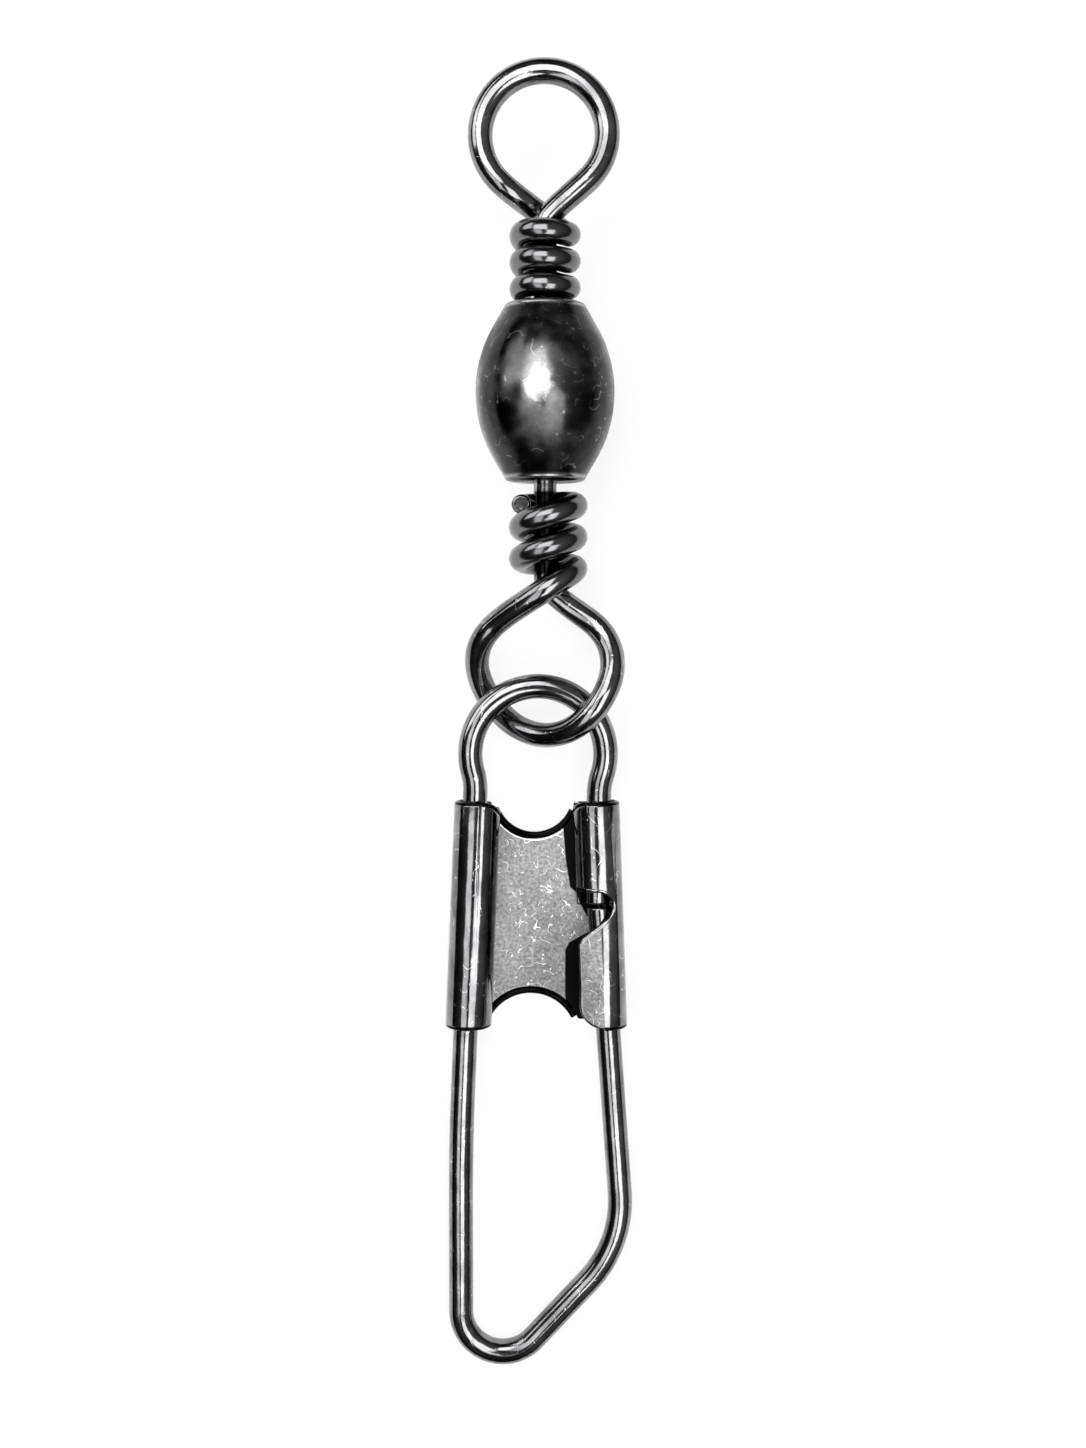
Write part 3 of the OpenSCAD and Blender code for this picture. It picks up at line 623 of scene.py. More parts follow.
def eye_line(eye, finer=5):
    """Middle line of an eye from the coil's cut end to the shank's head, with its diameters"""
    top = coil_top(eye)
    middle = top + eye.reach
    ring_steps = round((math.pi + 2 * eye.leg) / RING_STEP)
    coil = [(i / finer, coil_point(eye, eye.turn * (i / finer / COIL_STEPS - 1), top))
            for i in range(COIL_STEPS * finer + 1)]
    last = coil[-1][1]
    away = (last - coil_point(eye, math.radians(-1), top)).normalized()
    ring = [(COIL_STEPS + LEG_STEPS + i / finer, ring_point(eye, i / finer / ring_steps, middle))
            for i in range(ring_steps * finer + 1)]
    first = (ring_point(eye, 0.01, middle) - ring[0][1]).normalized()
    gone = (ring[-1][1] - ring_point(eye, 0.99, middle)).normalized()
    front = [(COIL_STEPS + i / finer,
              ease(last, eye.coil_pull * away, ring[0][1], eye.front_pull * first, i / finer / LEG_STEPS))
             for i in range(1, LEG_STEPS * finer)]
    down = Vector((0, -eye.shank_pull, 0))
    back = [(ring[-1][0] + i / finer,
             ease(ring[-1][1], eye.back_pull * gone, Vector((0, top, 0)), down, i / finer / LEG_STEPS))
            for i in range(1, LEG_STEPS * finer + 1)]
    line, sizes = [], []
    for step, p in coil + front + ring + back:
        line.append(twisted(eye, p, top + LEAD_RISE, middle + eye.ry))
        cut = max(0.0, 1 - step / PINCH_STEPS)
        wound = min(1.0, max(0.0, 1 - (step - COIL_STEPS) / TAPER_STEPS))
        root = min(1.0, max(0.0, (step - ring[-1][0]) / LEG_STEPS))
        sizes.append(eye.wire_d + (eye.cut_d - eye.wound_d) * cut
                     + (eye.wound_d - eye.wire_d) * wound + (eye.shank_d - eye.wire_d) * root)
    for y, size in ((top - WIRE_ROOT, eye.shank_d), (COIL_FOOT, eye.shank_d), (COIL_FOOT - 0.15 * MM, eye.shank_d),
                    (0.0, eye.shank_d), (-HEAD_TOP, eye.shank_d),
                    (-HEAD_TOP - 0.001 * MM, HEAD_D), (-HEAD_TOP - HEAD_H, HEAD_D * 0.7)):
        line.append(Vector((0, y, 0)))
        sizes.append(size)
    return line, sizes


# The snap's wire, in millimetres in its own plane, measured from the link

LINK_LIFT = 0.1
NOSE_Y = -32.5
LOOP_MIDDLE = Vector((-0.35, -2.34))
CLASP_TOP = 4.8
CLASP_L = 11.05
LEFT_X = -3.35
RIGHT_X = 2.55
LEFT_LEAN = math.radians(2.46)
RIGHT_LEAN = math.radians(2.1)
LEFT_BIAS = 0.13
ARM_TOP_BIAS = -0.03
ARM_END_BIAS = 0.18
END_BIAS = -0.12
KNEE_DROP = 6.15
NOTCH_DROP = 5.05
END_GAP = 0.15


def snap_place():
    """Matrix from the snap's own frame to its place on the table"""
    link_at = Vector(frame_joint("link_swing")["pos_m"])
    link_at.z += LINK_LIFT * MM
    wire = bpy.context.scene.swivel_snap.wire_d
    pitch = math.asin((link_at.z - wire / 2) / (-NOSE_Y * MM))
    return Matrix.Translation(link_at) @ Matrix.Rotation(pitch, 4, "X")


def left_axis(s):
    return Vector((LEFT_X - s * math.tan(LEFT_LEAN), -CLASP_TOP - s))


def right_axis(s):
    return Vector((RIGHT_X + s * math.tan(RIGHT_LEAN), -CLASP_TOP - s))


def crossing(p, d, q, e):
    """Where the lines through p along d and through q along e meet"""
    t = ((q.x - p.x) * e.y - (q.y - p.y) * e.x) / (d.x * e.y - d.y * e.x)
    return p + t * d


def corner(a, c, b, r):
    """Round corner at c between a and b: its centre and its two ends"""
    u, v = (a - c).normalized(), (b - c).normalized()
    half = math.acos(u.dot(v)) / 2
    along = r / math.tan(half)
    return c + (u + v).normalized() * r / math.sin(half), c + along * u, c + along * v


def waist(centre, leg, way, out, loop_r, waist_r):
    """Bend that eases the loop into a leg: its centre, its end on the loop and on the leg"""
    w = leg + out * waist_r - centre
    along = -w.dot(way) + math.sqrt(w.dot(way) ** 2 - w.dot(w) + (loop_r + waist_r) ** 2)
    q = centre + w + way * along
    return q, centre + (q - centre) * loop_r / (loop_r + waist_r), q - out * waist_r


def arc(centre, start, end, turn=0.0):
    """Points round a centre from start to end, the short way or by a signed turn"""
    a, b = start - centre, end - centre
    if not turn:
        turn = math.atan2(a.x * b.y - a.y * b.x, a.dot(b))
    count = max(4, round(abs(turn) * 24))
    if a.length > 20:
        count = 8
    points = []
    for i in range(count + 1):
        t = turn * i / count
        points.append(centre + Vector((a.x * math.cos(t) - a.y * math.sin(t), a.x * math.sin(t) + a.y * math.cos(t))))
    return points


def snap_line(snap):
    """Middle line of the snap's wire, from its end above the notch to its end below it"""
    loop_r, waist_r = snap.loop_r / MM, snap.waist_r / MM
    nose_r, shoulder_r, knee_r = snap.nose_r / MM, snap.shoulder_r / MM, snap.knee_r / MM
    left_in, left_out = left_axis(0) - Vector((LEFT_BIAS, 0)), left_axis(CLASP_L) - Vector((LEFT_BIAS, 0))
    left_way = (left_out - left_in).normalized()
    left_waist = waist(LOOP_MIDDLE, left_in, left_way, Vector((left_way.y, -left_way.x)), loop_r, waist_r)
    knee = left_out + left_way * KNEE_DROP
    end_top = right_axis(0) + Vector((-END_BIAS, 0))
    end_low = right_axis(NOTCH_DROP - END_GAP / 2) + Vector((END_BIAS, 0))
    end_way = (end_low - end_top).normalized()
    end_waist = waist(LOOP_MIDDLE, end_top, end_way, Vector((-end_way.y, end_way.x)), loop_r, waist_r)
    arm_top = right_axis(NOTCH_DROP + END_GAP / 2) + Vector((ARM_TOP_BIAS, 0))
    arm_out = right_axis(CLASP_L) + Vector((ARM_END_BIAS, 0))
    slant = Vector((math.cos(snap.nose_angle), math.sin(snap.nose_angle)))
    straight = Vector((0, -40))
    nose_mid = crossing(Vector((0, NOSE_Y + nose_r)), Vector((1, 0)), knee + Vector((nose_r, 0)), straight)
    slant_at = nose_mid + nose_r * Vector((slant.y, -slant.x))
    toe = crossing(knee, straight, slant_at, slant)
    shoulder = crossing(arm_top, arm_out - arm_top, slant_at, slant)
    over = math.atan2(left_waist[1].y - LOOP_MIDDLE.y, left_waist[1].x - LOOP_MIDDLE.x) + math.tau
    over -= math.atan2(end_waist[1].y - LOOP_MIDDLE.y, end_waist[1].x - LOOP_MIDDLE.x)
    line = [end_low]
    line += arc(end_waist[0], end_waist[2], end_waist[1])
    line += arc(LOOP_MIDDLE, end_waist[1], left_waist[1], over)[1:]
    line += arc(*left_waist)[1:]
    line += arc(*corner(left_out, knee, toe, knee_r))
    line += arc(*corner(knee, toe, shoulder, nose_r))
    line += arc(*corner(toe, shoulder, arm_out, shoulder_r))
    line.append(arm_top)
    return [Vector((p.x, p.y, 0)) * MM for p in line]


def rounded_end(line, sizes, soft):
    """Narrows a wire over the first hair of its length, so that its cut end has a soft edge"""
    way = (line[1] - line[0]).normalized()
    points, widths = [], []
    for i in range(6):
        a = math.pi / 2 * i / 5
        points.append(line[0] + way * soft * (1 - math.cos(a)))
        widths.append(sizes[0] - 2 * soft * (1 - math.sin(a)))
    far = next(i for i, p in enumerate(line) if (p - line[0]).length > soft * 1.05)
    return points + line[far:], widths + sizes[far:]


def bend_wire(name, line, sizes, place, sides=6, shades=None):
    """Wire swept along a line, with each point's place along and round it and its shades stored"""
    deselect()
    bpy.ops.curve.primitive_nurbs_path_add(location=(0, 0, 0))
    piece = bpy.context.active_object
    piece.name = name
    curve = piece.data
    curve.splines.clear()
    curve.dimensions = "3D"
    curve.bevel_depth = 1.0
    curve.bevel_resolution = sides
    curve.use_fill_caps = True
    curve.twist_mode = "MINIMUM"
    spline = curve.splines.new("POLY")
    spline.points.add(len(line) - 1)
    for point, p, size in zip(spline.points, line, sizes):
        point.co = (*(place @ p), 1)
        point.radius = size / 2
    make_active(piece)
    bpy.ops.object.convert(target="MESH")
    piece = bpy.context.active_object
    store_wire_place(piece, line, sizes, 2 * sides + 4, shades)
    bpy.ops.object.shade_smooth_by_angle(angle=math.radians(50))
    return piece


def store_wire_place(piece, line, sizes, around, shades):
    """A swept curve's mesh starts with the rings of its two caps, the far end's and then the near end's"""
    lengths = [0.0]
    for a, b in zip(line, line[1:]):
        lengths.append(lengths[-1] + (b - a).length)
    mesh = piece.data
    places, painted_shade, wound = [], [], []
    rings = [len(line) - 1, 0] + list(range(len(line)))
    for index in range(len(mesh.vertices)):
        turn, side = divmod(index, around)
        ring = rings[turn]
        a = math.tau * side / around
        r = sizes[ring] / 2
        places += [r * math.cos(a), lengths[ring], r * math.sin(a)]
        # Each point's painted shade, and its share of the coil's rougher, darker skin
        painted_dark, rubbed = shades(line[ring]) if shades else (0.0, 0.0)
        painted_shade.append(painted_dark)
        wound.append(rubbed)
    mesh.attributes.new("wire_place", "FLOAT_VECTOR", "POINT").data.foreach_set("vector", places)
    mesh.attributes.new("painted_shade", "FLOAT", "POINT").data.foreach_set("value", painted_shade)
    mesh.attributes.new("wound", "FLOAT", "POINT").data.foreach_set("value", wound)


def eye_shades(eye):
    """Painted shade on the shank, where the coil hides it, and a duller skin on the coil, its darkening painted shade
    as well
    """
    top = coil_top(eye)

    def shades(p):
        if p.y > top + LEAD_RISE:
            return 0.0, 0.0
        if math.hypot(p.x, p.z) > eye.shank_d / 2:
            return 0.0, min(1.0, (top + LEAD_RISE - p.y) / (0.5 * MM))
        return (1.0, 0.0) if COIL_FOOT * 0.99 < p.y < top - WIRE_ROOT * 0.99 else (0.0, 0.0)

    return shades


def swivel_place(along, turned):
    """Matrix from an eye's own frame to its place on the pitched swivel"""
    upper, lower = frame_joint("upper_swivel"), frame_joint("lower_swivel")
    axis = (Vector(upper["pos_m"]) - Vector(lower["pos_m"])).normalized()
    pitch = math.atan2(axis.z, axis.y)
    spot = Vector(frame_joint(along)["pos_m"])
    return Matrix.Translation(spot) @ Matrix.Rotation(pitch, 4, "X") @ Matrix.Rotation(math.pi, 4, turned)


def frame_joint(name):
    for joint in frame["record"]["behaviour"]["joints"]:
        if joint["name"] == name:
            return joint
    raise RuntimeError("no joint " + name)


# The barrel

END_WALL = 0.7 * MM


def barrel_profile(sizes):
    """Closed half section of the barrel as distance from its axis and height from its middle"""
    half, rim = sizes.barrel_l / 2, sizes.rim_d / 2
    rise = sizes.barrel_d / 2 - rim
    angle = math.atan(rise / half) * (1 + sizes.side_round)
    belly = (half * math.sin(angle) - rise * math.cos(angle)) / (1 - math.cos(angle))

    def side(y):
        edge = belly * math.sin(angle)
        if abs(y) <= edge:
            return sizes.barrel_d / 2 - belly + math.sqrt(belly ** 2 - y ** 2)
        return rim + (half - abs(y)) * math.tan(angle)

    def dome(r):
        return half + sizes.dome_h * math.sqrt(max(0.0, 1 - (r / rim) ** 8))

    end = [(r, dome(r)) for r in (sizes.bore_r + (rim - sizes.bore_r) * (1 - (1 - i / 20) ** 2) for i in range(20))]
    outer = [(side(half * i / 80), half * i / 80) for i in range(80, -81, -1)]
    inner_y = half - END_WALL
    inner = [(side(y) - sizes.wall, y) for y in (inner_y * i / 30 for i in range(-30, 31))]
    low_end = [(r, -y) for r, y in reversed(end)]
    low_bore = [(sizes.bore_r, -inner_y)]
    return end + outer + low_end + low_bore + inner + [(sizes.bore_r, inner_y)]


def spun_barrel(sizes):
    deselect()
    upper, lower = Vector(frame_joint("upper_swivel")["pos_m"]), Vector(frame_joint("lower_swivel")["pos_m"])
    axis, middle = (upper - lower).normalized(), (upper + lower) / 2
    out = Vector((1, 0, 0))
    bpy.ops.mesh.primitive_circle_add(vertices=len(barrel_profile(sizes)), radius=MM, location=(0, 0, 0))
    piece = bpy.context.active_object
    piece.name = "barrel_shell"
    for vertex, (r, y) in zip(piece.data.vertices, barrel_profile(sizes)):
        vertex.co = middle + out * r + axis * y
    bpy.ops.object.mode_set(mode="EDIT")
    bpy.ops.mesh.select_all(action="SELECT")
    bpy.ops.mesh.spin(steps=144, angle=math.tau, center=middle, axis=axis)
    bpy.ops.mesh.select_all(action="SELECT")
    bpy.ops.mesh.remove_doubles(threshold=0.001 * MM)
    bpy.ops.mesh.normals_make_consistent(inside=False)
    bpy.ops.object.mode_set(mode="OBJECT")
    # Rim wear and painted sheen: a light line painted round each rim
    wear = piece.data.attributes.new("rim_wear_and_sheen", "FLOAT", "POINT")
    shares = []
    for vertex in piece.data.vertices:
        y = abs((vertex.co - middle).dot(axis))
        r = ((vertex.co - middle) - axis * (vertex.co - middle).dot(axis)).length
        near = math.hypot(y - sizes.barrel_l / 2, r - sizes.rim_d / 2)
        shares.append(max(0.0, 1 - near / (0.16 * MM)))
    wear.data.foreach_set("value", shares)
    bpy.ops.object.shade_smooth_by_angle(angle=math.radians(50))
    return piece


# Pieces taken over from the frame's nodes with their edges softened

def softened_copy(name, node_name, width, angle):
    deselect()
    source = frame["nodes"][node_name]
    mesh = source.data.copy()
    piece = bpy.data.objects.new(name, mesh)
    bpy.context.scene.collection.objects.link(piece)
    mesh.transform(source.matrix_world)
    make_active(piece)
    bpy.ops.object.mode_set(mode="EDIT")
    bpy.ops.mesh.select_all(action="SELECT")
    bpy.ops.mesh.remove_doubles(threshold=0.004 * MM)
    bpy.ops.mesh.dissolve_degenerate(threshold=0.01 * MM)
    bpy.ops.mesh.dissolve_limited(angle_limit=math.radians(0.5))
    bpy.ops.object.mode_set(mode="OBJECT")
    bevel = piece.modifiers.new("Soft edges", "BEVEL")
    bevel.width = width
    bevel.segments = 3
    bevel.limit_method = "ANGLE"
    bevel.angle_limit = angle
    bevel.use_clamp_overlap = False
    bevel.miter_outer = "MITER_ARC"
    bpy.ops.object.modifier_apply(modifier=bevel.name)
    bpy.ops.object.shade_smooth_by_angle(angle=math.radians(40))
    return piece


def satin_faces(piece, satin):
    """Gives the clasp's flat faces, between the axes of its rolled sides, the satin finish"""
    piece.data.materials.append(satin)
    to_snap = snap_place().inverted()
    turn = to_snap.to_3x3()
    for face in piece.data.polygons:
        c = to_snap @ face.center / MM
        s = -CLASP_TOP - c.y
        level = abs((turn @ face.normal).z) > 0.996
        inside = left_axis(s).x + 0.12 < c.x < right_axis(s).x - 0.12
        if level and inside:
            face.material_index = 1


# The rounded cut edges of the clasp, in millimetres in the snap's frame

ROLL_R = 1.15
ROLL_DROP = 0.12
SCOOPS = (((-0.53, -4.44), 2.2, 203, 337), ((-0.73, -16.83), 2.6, 27, 153))
NOTCH = (-0.15, -5.05)
NOTCH_R = 0.85


def roll_end(axis, side, s, last, middle_r, corner_r=0.0):
    """Rim of a rolled side, from the web's underside round to its last angle, with a round corner"""
    points = []
    for i in range(49):
        a = math.radians(-90 + (last + 90) * i / 48)
        past = -middle_r * math.cos(a) - (ROLL_R - corner_r)
        cut = corner_r - math.sqrt(corner_r ** 2 - past ** 2) if corner_r and past > 0 else 0.0
        points.append(Vector((
            axis(s).x + side * middle_r * math.cos(a), -CLASP_TOP - s - cut, middle_r * math.sin(a) - ROLL_DROP)))
    return points


def scoop_edge(spot, radius, start, end, thick):
    points = []
    for i in range(61):
        a = math.radians(start + (end - start) * i / 60)
        r = radius - thick * 0.55
        points.append(Vector((spot[0] + r * math.cos(a), spot[1] + r * math.sin(a), thick / 2 - ROLL_R - ROLL_DROP)))
    return points


def flap_edge(middle_r):
    """Edge that runs round the notch and down the flap to the clasp's lower end"""
    flat = [(NOTCH[0] - 0.75 + 0.05 * i, NOTCH[1] + NOTCH_R) for i in range(15)]
    for i in range(37):
        a = math.radians(90 - 144 * i / 36)
        flat.append((NOTCH[0] + NOTCH_R * math.cos(a), NOTCH[1] + NOTCH_R * math.sin(a)))
    turned = len(flat)
    tip = flat[-1]
    inner = ROLL_R * 0.93
    slope = math.tan(math.radians(36))
    flat += [(tip[0] - 0.05 * i, tip[1] - 0.05 * i * slope) for i in range(1, int((tip[0] + inner - 0.2) / 0.05))]
    knee = flat[-1]
    flat += [(knee[0] - 0.2 * math.sin(a), knee[1] - 0.2 * (1 - math.cos(a)) - 0.1 * a)
             for a in (math.radians(15 * i) for i in range(1, 7))]
    foot = ROLL_R - CLASP_L
    flat += [(-inner, foot + 0.02)]
    flat += [(-inner * math.cos(a), foot - inner * math.sin(a)) for a in (math.radians(7.5 * i) for i in range(1, 13))]
    points = []
    turn = Matrix.Rotation(RIGHT_LEAN, 4, "Z")
    for index, (x, y) in enumerate(flat):
        rise = middle_r if index >= turned and x < 0 else math.sqrt(max(0.0, middle_r ** 2 - x ** 2))
        points.append(turn @ Vector((x, y, 0)) + Vector((RIGHT_X, -CLASP_TOP, rise - ROLL_DROP)))
    return points


def paint_shade_on_flanks(bead, crest):
    """Painted shade on an edge's flanks, which face away from the lamps overhead; without a crest the whole edge is
    painted dark, with one its top keeps the edge's colour
    """
    mesh = bead.data
    shares = [min(1.0, max(0.0, (0.86 - vertex.normal.z) / 0.2)) if crest else 1.0 for vertex in mesh.vertices]
    mesh.attributes["painted_shade"].data.foreach_set("value", shares)


def edge_beads(snap):
    """The rounded edges of the clasp, each as its own swept piece"""
    thick = snap.sheet_t / MM
    middle_r = ROLL_R - thick / 2
    lines = {
        "left_top": roll_end(left_axis, -1, 0, 200, middle_r, 0.88),
        "left_low": roll_end(left_axis, -1, CLASP_L, 215, middle_r),
        "right_top": roll_end(right_axis, 1, 0, 200, middle_r, 0.575),
        "right_low": roll_end(right_axis, 1, CLASP_L, 90, middle_r),
        "flap": flap_edge(middle_r),
    }
    for index, scoop in enumerate(SCOOPS):
        lines["scoop_%d" % index] = scoop_edge(*scoop, thick)
    beads = []
    for name, line in lines.items():
        width = snap.sheet_t * (1.3 if name.startswith("scoop") else 1.0)
        bead = bend_wire("edge_" + name, [p * MM for p in line], [width] * len(line), snap_place(), 4)
        # All edges but the flap's are painted dark all over, painted shade along the sheet's outline
        paint_shade_on_flanks(bead, name == "flap")
        set_material(bead, bpy.data.materials["Cut edge"])
        beads.append(bead)
    return beads


def joined(piece, others):
    make_active(piece)
    for other in others:
        other.select_set(True)
    bpy.ops.object.join()


# Operators

# The edge of the painted shadow beside the rolled side, as heights along Y and places along X in mm
SHADOW_LINE = (
    (-15.2, 1.75), (-14.6, 1.45), (-13.5, 1.3), (-11.2, 1.3), (-10.8, 1.5), (-10.25, 2.5),
    (-9.8, 2.62), (-9.3, 2.3), (-8.7, 2.0), (-8.3, 1.9), (-8.0, 1.55), (-6.6, 1.33), (-5.0, 1.2),
)
# Height below which the painted shadow beside the rolled side lies
SHADOW_TOP = 2.1 * MM
# How wide the painted highlight line is on the pressed face beside the round cut-outs
HIGHLIGHT_LINE = 0.1 * MM
# How far across the clasp the painted shadow beside the rolled side reaches
SHADOW_END = 3.0 * MM
# Where the barrel's belly is worn bright, under the overhead highlight and so partly a painted highlight, and how far
# round the spot
WORN_HIGHLIGHT_SPOT = (0.04 * MM, 16.1 * MM, 6.75 * MM)
WORN_HIGHLIGHT_SIZE = (0.6 * MM, 0.8 * MM, 2.0 * MM)


class SWIVEL_OT_bend_upper_eye(bpy.types.Operator):
    """Bend the eye that takes the line and wrap its tail"""

    bl_idname = "swivel.bend_upper_eye"
    bl_label = "Bend the upper eye"

    def execute(self, context):
        eye = context.scene.swivel_upper_eye
        line, sizes = eye_line(eye)
        line, sizes = rounded_end(line, sizes, 0.12 * MM)
        piece = bend_wire("upper_eye_wire", line, sizes, swivel_place("upper_swivel", "Y"), 6, eye_shades(eye))
        finish_piece(piece, "line_side_eye", "plated_eye", bpy.data.materials["Plated eye wire"], "upper_eye")
        return {"FINISHED"}


class SWIVEL_OT_bend_lower_eye(bpy.types.Operator):
    """Bend the eye that the snap hangs in and wrap its tail"""

    bl_idname = "swivel.bend_lower_eye"
    bl_label = "Bend the lower eye"

    def execute(self, context):
        eye = context.scene.swivel_lower_eye
        line, sizes = eye_line(eye)
        line, sizes = rounded_end(line, sizes, 0.12 * MM)
        piece = bend_wire("lower_eye_wire", line, sizes, swivel_place("lower_swivel", "Z"), 6, eye_shades(eye))
        finish_piece(piece, "snap_side_eye", "plated_eye", bpy.data.materials["Plated eye wire"], "lower_eye")
        return {"FINISHED"}


class SWIVEL_OT_spin_barrel(bpy.types.Operator):
    """Spin the hollow barrel with its domed ends"""

    bl_idname = "swivel.spin_barrel"
    bl_label = "Spin the barrel"

    def execute(self, context):
        piece = spun_barrel(context.scene.swivel_barrel)
        finish_piece(piece, "swivel_barrel", "plated_barrel", bpy.data.materials["Plated barrel"], "barrel")
        return {"FINISHED"}


class SWIVEL_OT_bend_snap_wire(bpy.types.Operator):
    """Bend the snap's sprung wire from end to end"""

    bl_idname = "swivel.bend_snap_wire"
    bl_label = "Bend the snap wire"

    def execute(self, context):
        snap = context.scene.swivel_snap
        line = snap_line(snap)
        sizes = [snap.wire_d] * len(line)
        for _ in range(2):
            line, sizes = rounded_end(line[::-1], sizes[::-1], 0.12 * MM)
        piece = bend_wire("snap_wire_bent", line, sizes, snap_place(), 8)
        finish_piece(piece, "snap", "plated_wire", bpy.data.materials["Plated snap wire"], "snap_wire")
        return {"FINISHED"}


class SWIVEL_OT_fold_clasp(bpy.types.Operator):
    """Round the clasp's cut edges, polish its rolled sides and leave its flat faces satin"""

    bl_idname = "swivel.fold_clasp"
    bl_label = "Fold the clasp"

    def execute(self, context):
        piece = softened_copy("clasp_sheet", "clasp", context.scene.swivel_snap.edge_round, math.radians(35))
        finish_piece(piece, "snap", "plated_sheet", bpy.data.materials["Rolled sheet"], "clasp")
        satin_faces(piece, bpy.data.materials["Pressed sheet"])
        joined(piece, edge_beads(context.scene.swivel_snap))
        return {"FINISHED"}


class SWIVEL_OT_mix_finishes(bpy.types.Operator):
    """Make the plated finishes that the pieces share"""

    bl_idname = "swivel.mix_finishes"
    bl_label = "Mix the finishes"

    def execute(self, context):
        finish = context.scene.swivel_finish
        group = handled_metal_group()
        wire = {
            "Wave size": 700.0, "Mark size": 5000.0, "Grain size": 12000.0, "Pit size": 2600.0,
            "Scratch size": 900.0, "stretch": (1.0, 0.25, 1.0), "clouds": [(0.35, 0.0), (0.65, 1.0)],
            "colour": finish.wire, "deep": finish.wire_deep_and_coil_shade, "scratch share": 0.25, "speckle": 0.12, "cloud rough": 0.0,
            "rough": 0.06, "rough spread": 0.13, "wave height": 0.008 * MM,
            "mark height": 0.004 * MM, "grain height": 0.0004 * MM,
            "pit depth": -0.004 * MM, "scratch depth": -0.002 * MM,
        }
        eyes = plated_metal("Plated eye wire", group, finish, wire_place, wire)
        # Painted shade: the coil is darkened toward the deep wire colour
        attribute_tint(eyes, "wound", finish.wire_deep_and_coil_shade, (-600, 700))
        # Painted shade on the shank between the coil's turns
        attribute_tint(eyes, "painted_shade", finish.painted_shade, (0, 700))
        dull_where(eyes, "wound", 0.05)
        plated_metal("Plated snap wire", group, finish, wire_place, wire)
        rolled = dict(wire)
        rolled.update({"Mark size": 3000.0, "wave height": 0.02 * MM, "scratch share": 0.5})
        # Painted shadow on the rolled side's foot
        paint_shadow_beside_roll(plated_metal("Rolled sheet", group, finish, object_place, rolled), finish.painted_shade)
        edge = dict(rolled)
        edge.update({"colour": finish.edge, "deep": finish.edge, "wave height": 0.002 * MM, "scratch share": 0.3})
        edges = plated_metal("Cut edge", group, finish, object_place, edge)
        # Painted shade on the clasp's edges
        attribute_tint(edges, "painted_shade", finish.painted_shade, (-300, 700))
        barrel = dict(wire)
        barrel.update({
            "Wave size": 450.0, "Mark size": 1500.0, "stretch": (1.0, 1.0, 1.0), "Pit size": 2000.0,
            "clouds": [(0.36, 0.0), (0.5, 0.35), (0.68, 1.0)],
            "colour": finish.barrel, "deep": finish.barrel_deep, "scratch share": 0.18,
            "rough": 0.06, "rough spread": 0.16, "cloud rough": 0.36, "wave height": 0.02 * MM, "speckle": 0.5,
            "mark height": 0.0012 * MM, "grain height": 0.0006 * MM,
        })
        shell = plated_metal("Plated barrel", group, finish, object_place, barrel)
        # Worn patch at the overhead highlight, partly a painted highlight
        worn_highlight_patch(shell, finish, WORN_HIGHLIGHT_SPOT, WORN_HIGHLIGHT_SIZE)
        # Lighter rims, as wear and as a painted light line
        attribute_tint(shell, "rim_wear_and_sheen", finish.rim_worn_and_sheen, (0, 700))
        sheet = dict(wire)
        sheet.update({
            "Wave size": 500.0, "Mark size": 7000.0, "stretch": (1.0, 1.0, 1.0), "Grain size": 14000.0,
            "colour": finish.satin, "deep": finish.satin_deep, "rough": 0.38, "rough spread": 0.25,
            "mark height": 0.003 * MM, "grain height": 0.003 * MM, "scratch share": 1.0, "speckle": 0.55,
            "Scratch size": 1600.0, "Pit size": 4000.0,
            "wave height": 0.01 * MM,
        })
        pressed = plated_metal("Pressed sheet", group, finish, object_place, sheet)
        # Painted highlight line beside the round cut-outs
        paint_highlight_rims(pressed, finish.scratch)
        # Painted shadow on the web beside the rolled side
        paint_shadow_beside_roll(pressed, finish.painted_shade)
        return {"FINISHED"}


class SWIVEL_OT_set_stage(bpy.types.Operator):
    """Lay the floor, hang the light panels and place the camera"""

    bl_idname = "swivel.set_stage"
    bl_label = "Set the stage"

    def execute(self, context):
        stage = context.scene.swivel_stage
        scene = context.scene
        scene.view_settings.view_transform = "Standard"
        lay_floor(stage)
        hang_panels(stage)
        light_room(scene, stage)
        place_camera(scene, stage)
        return {"FINISHED"}


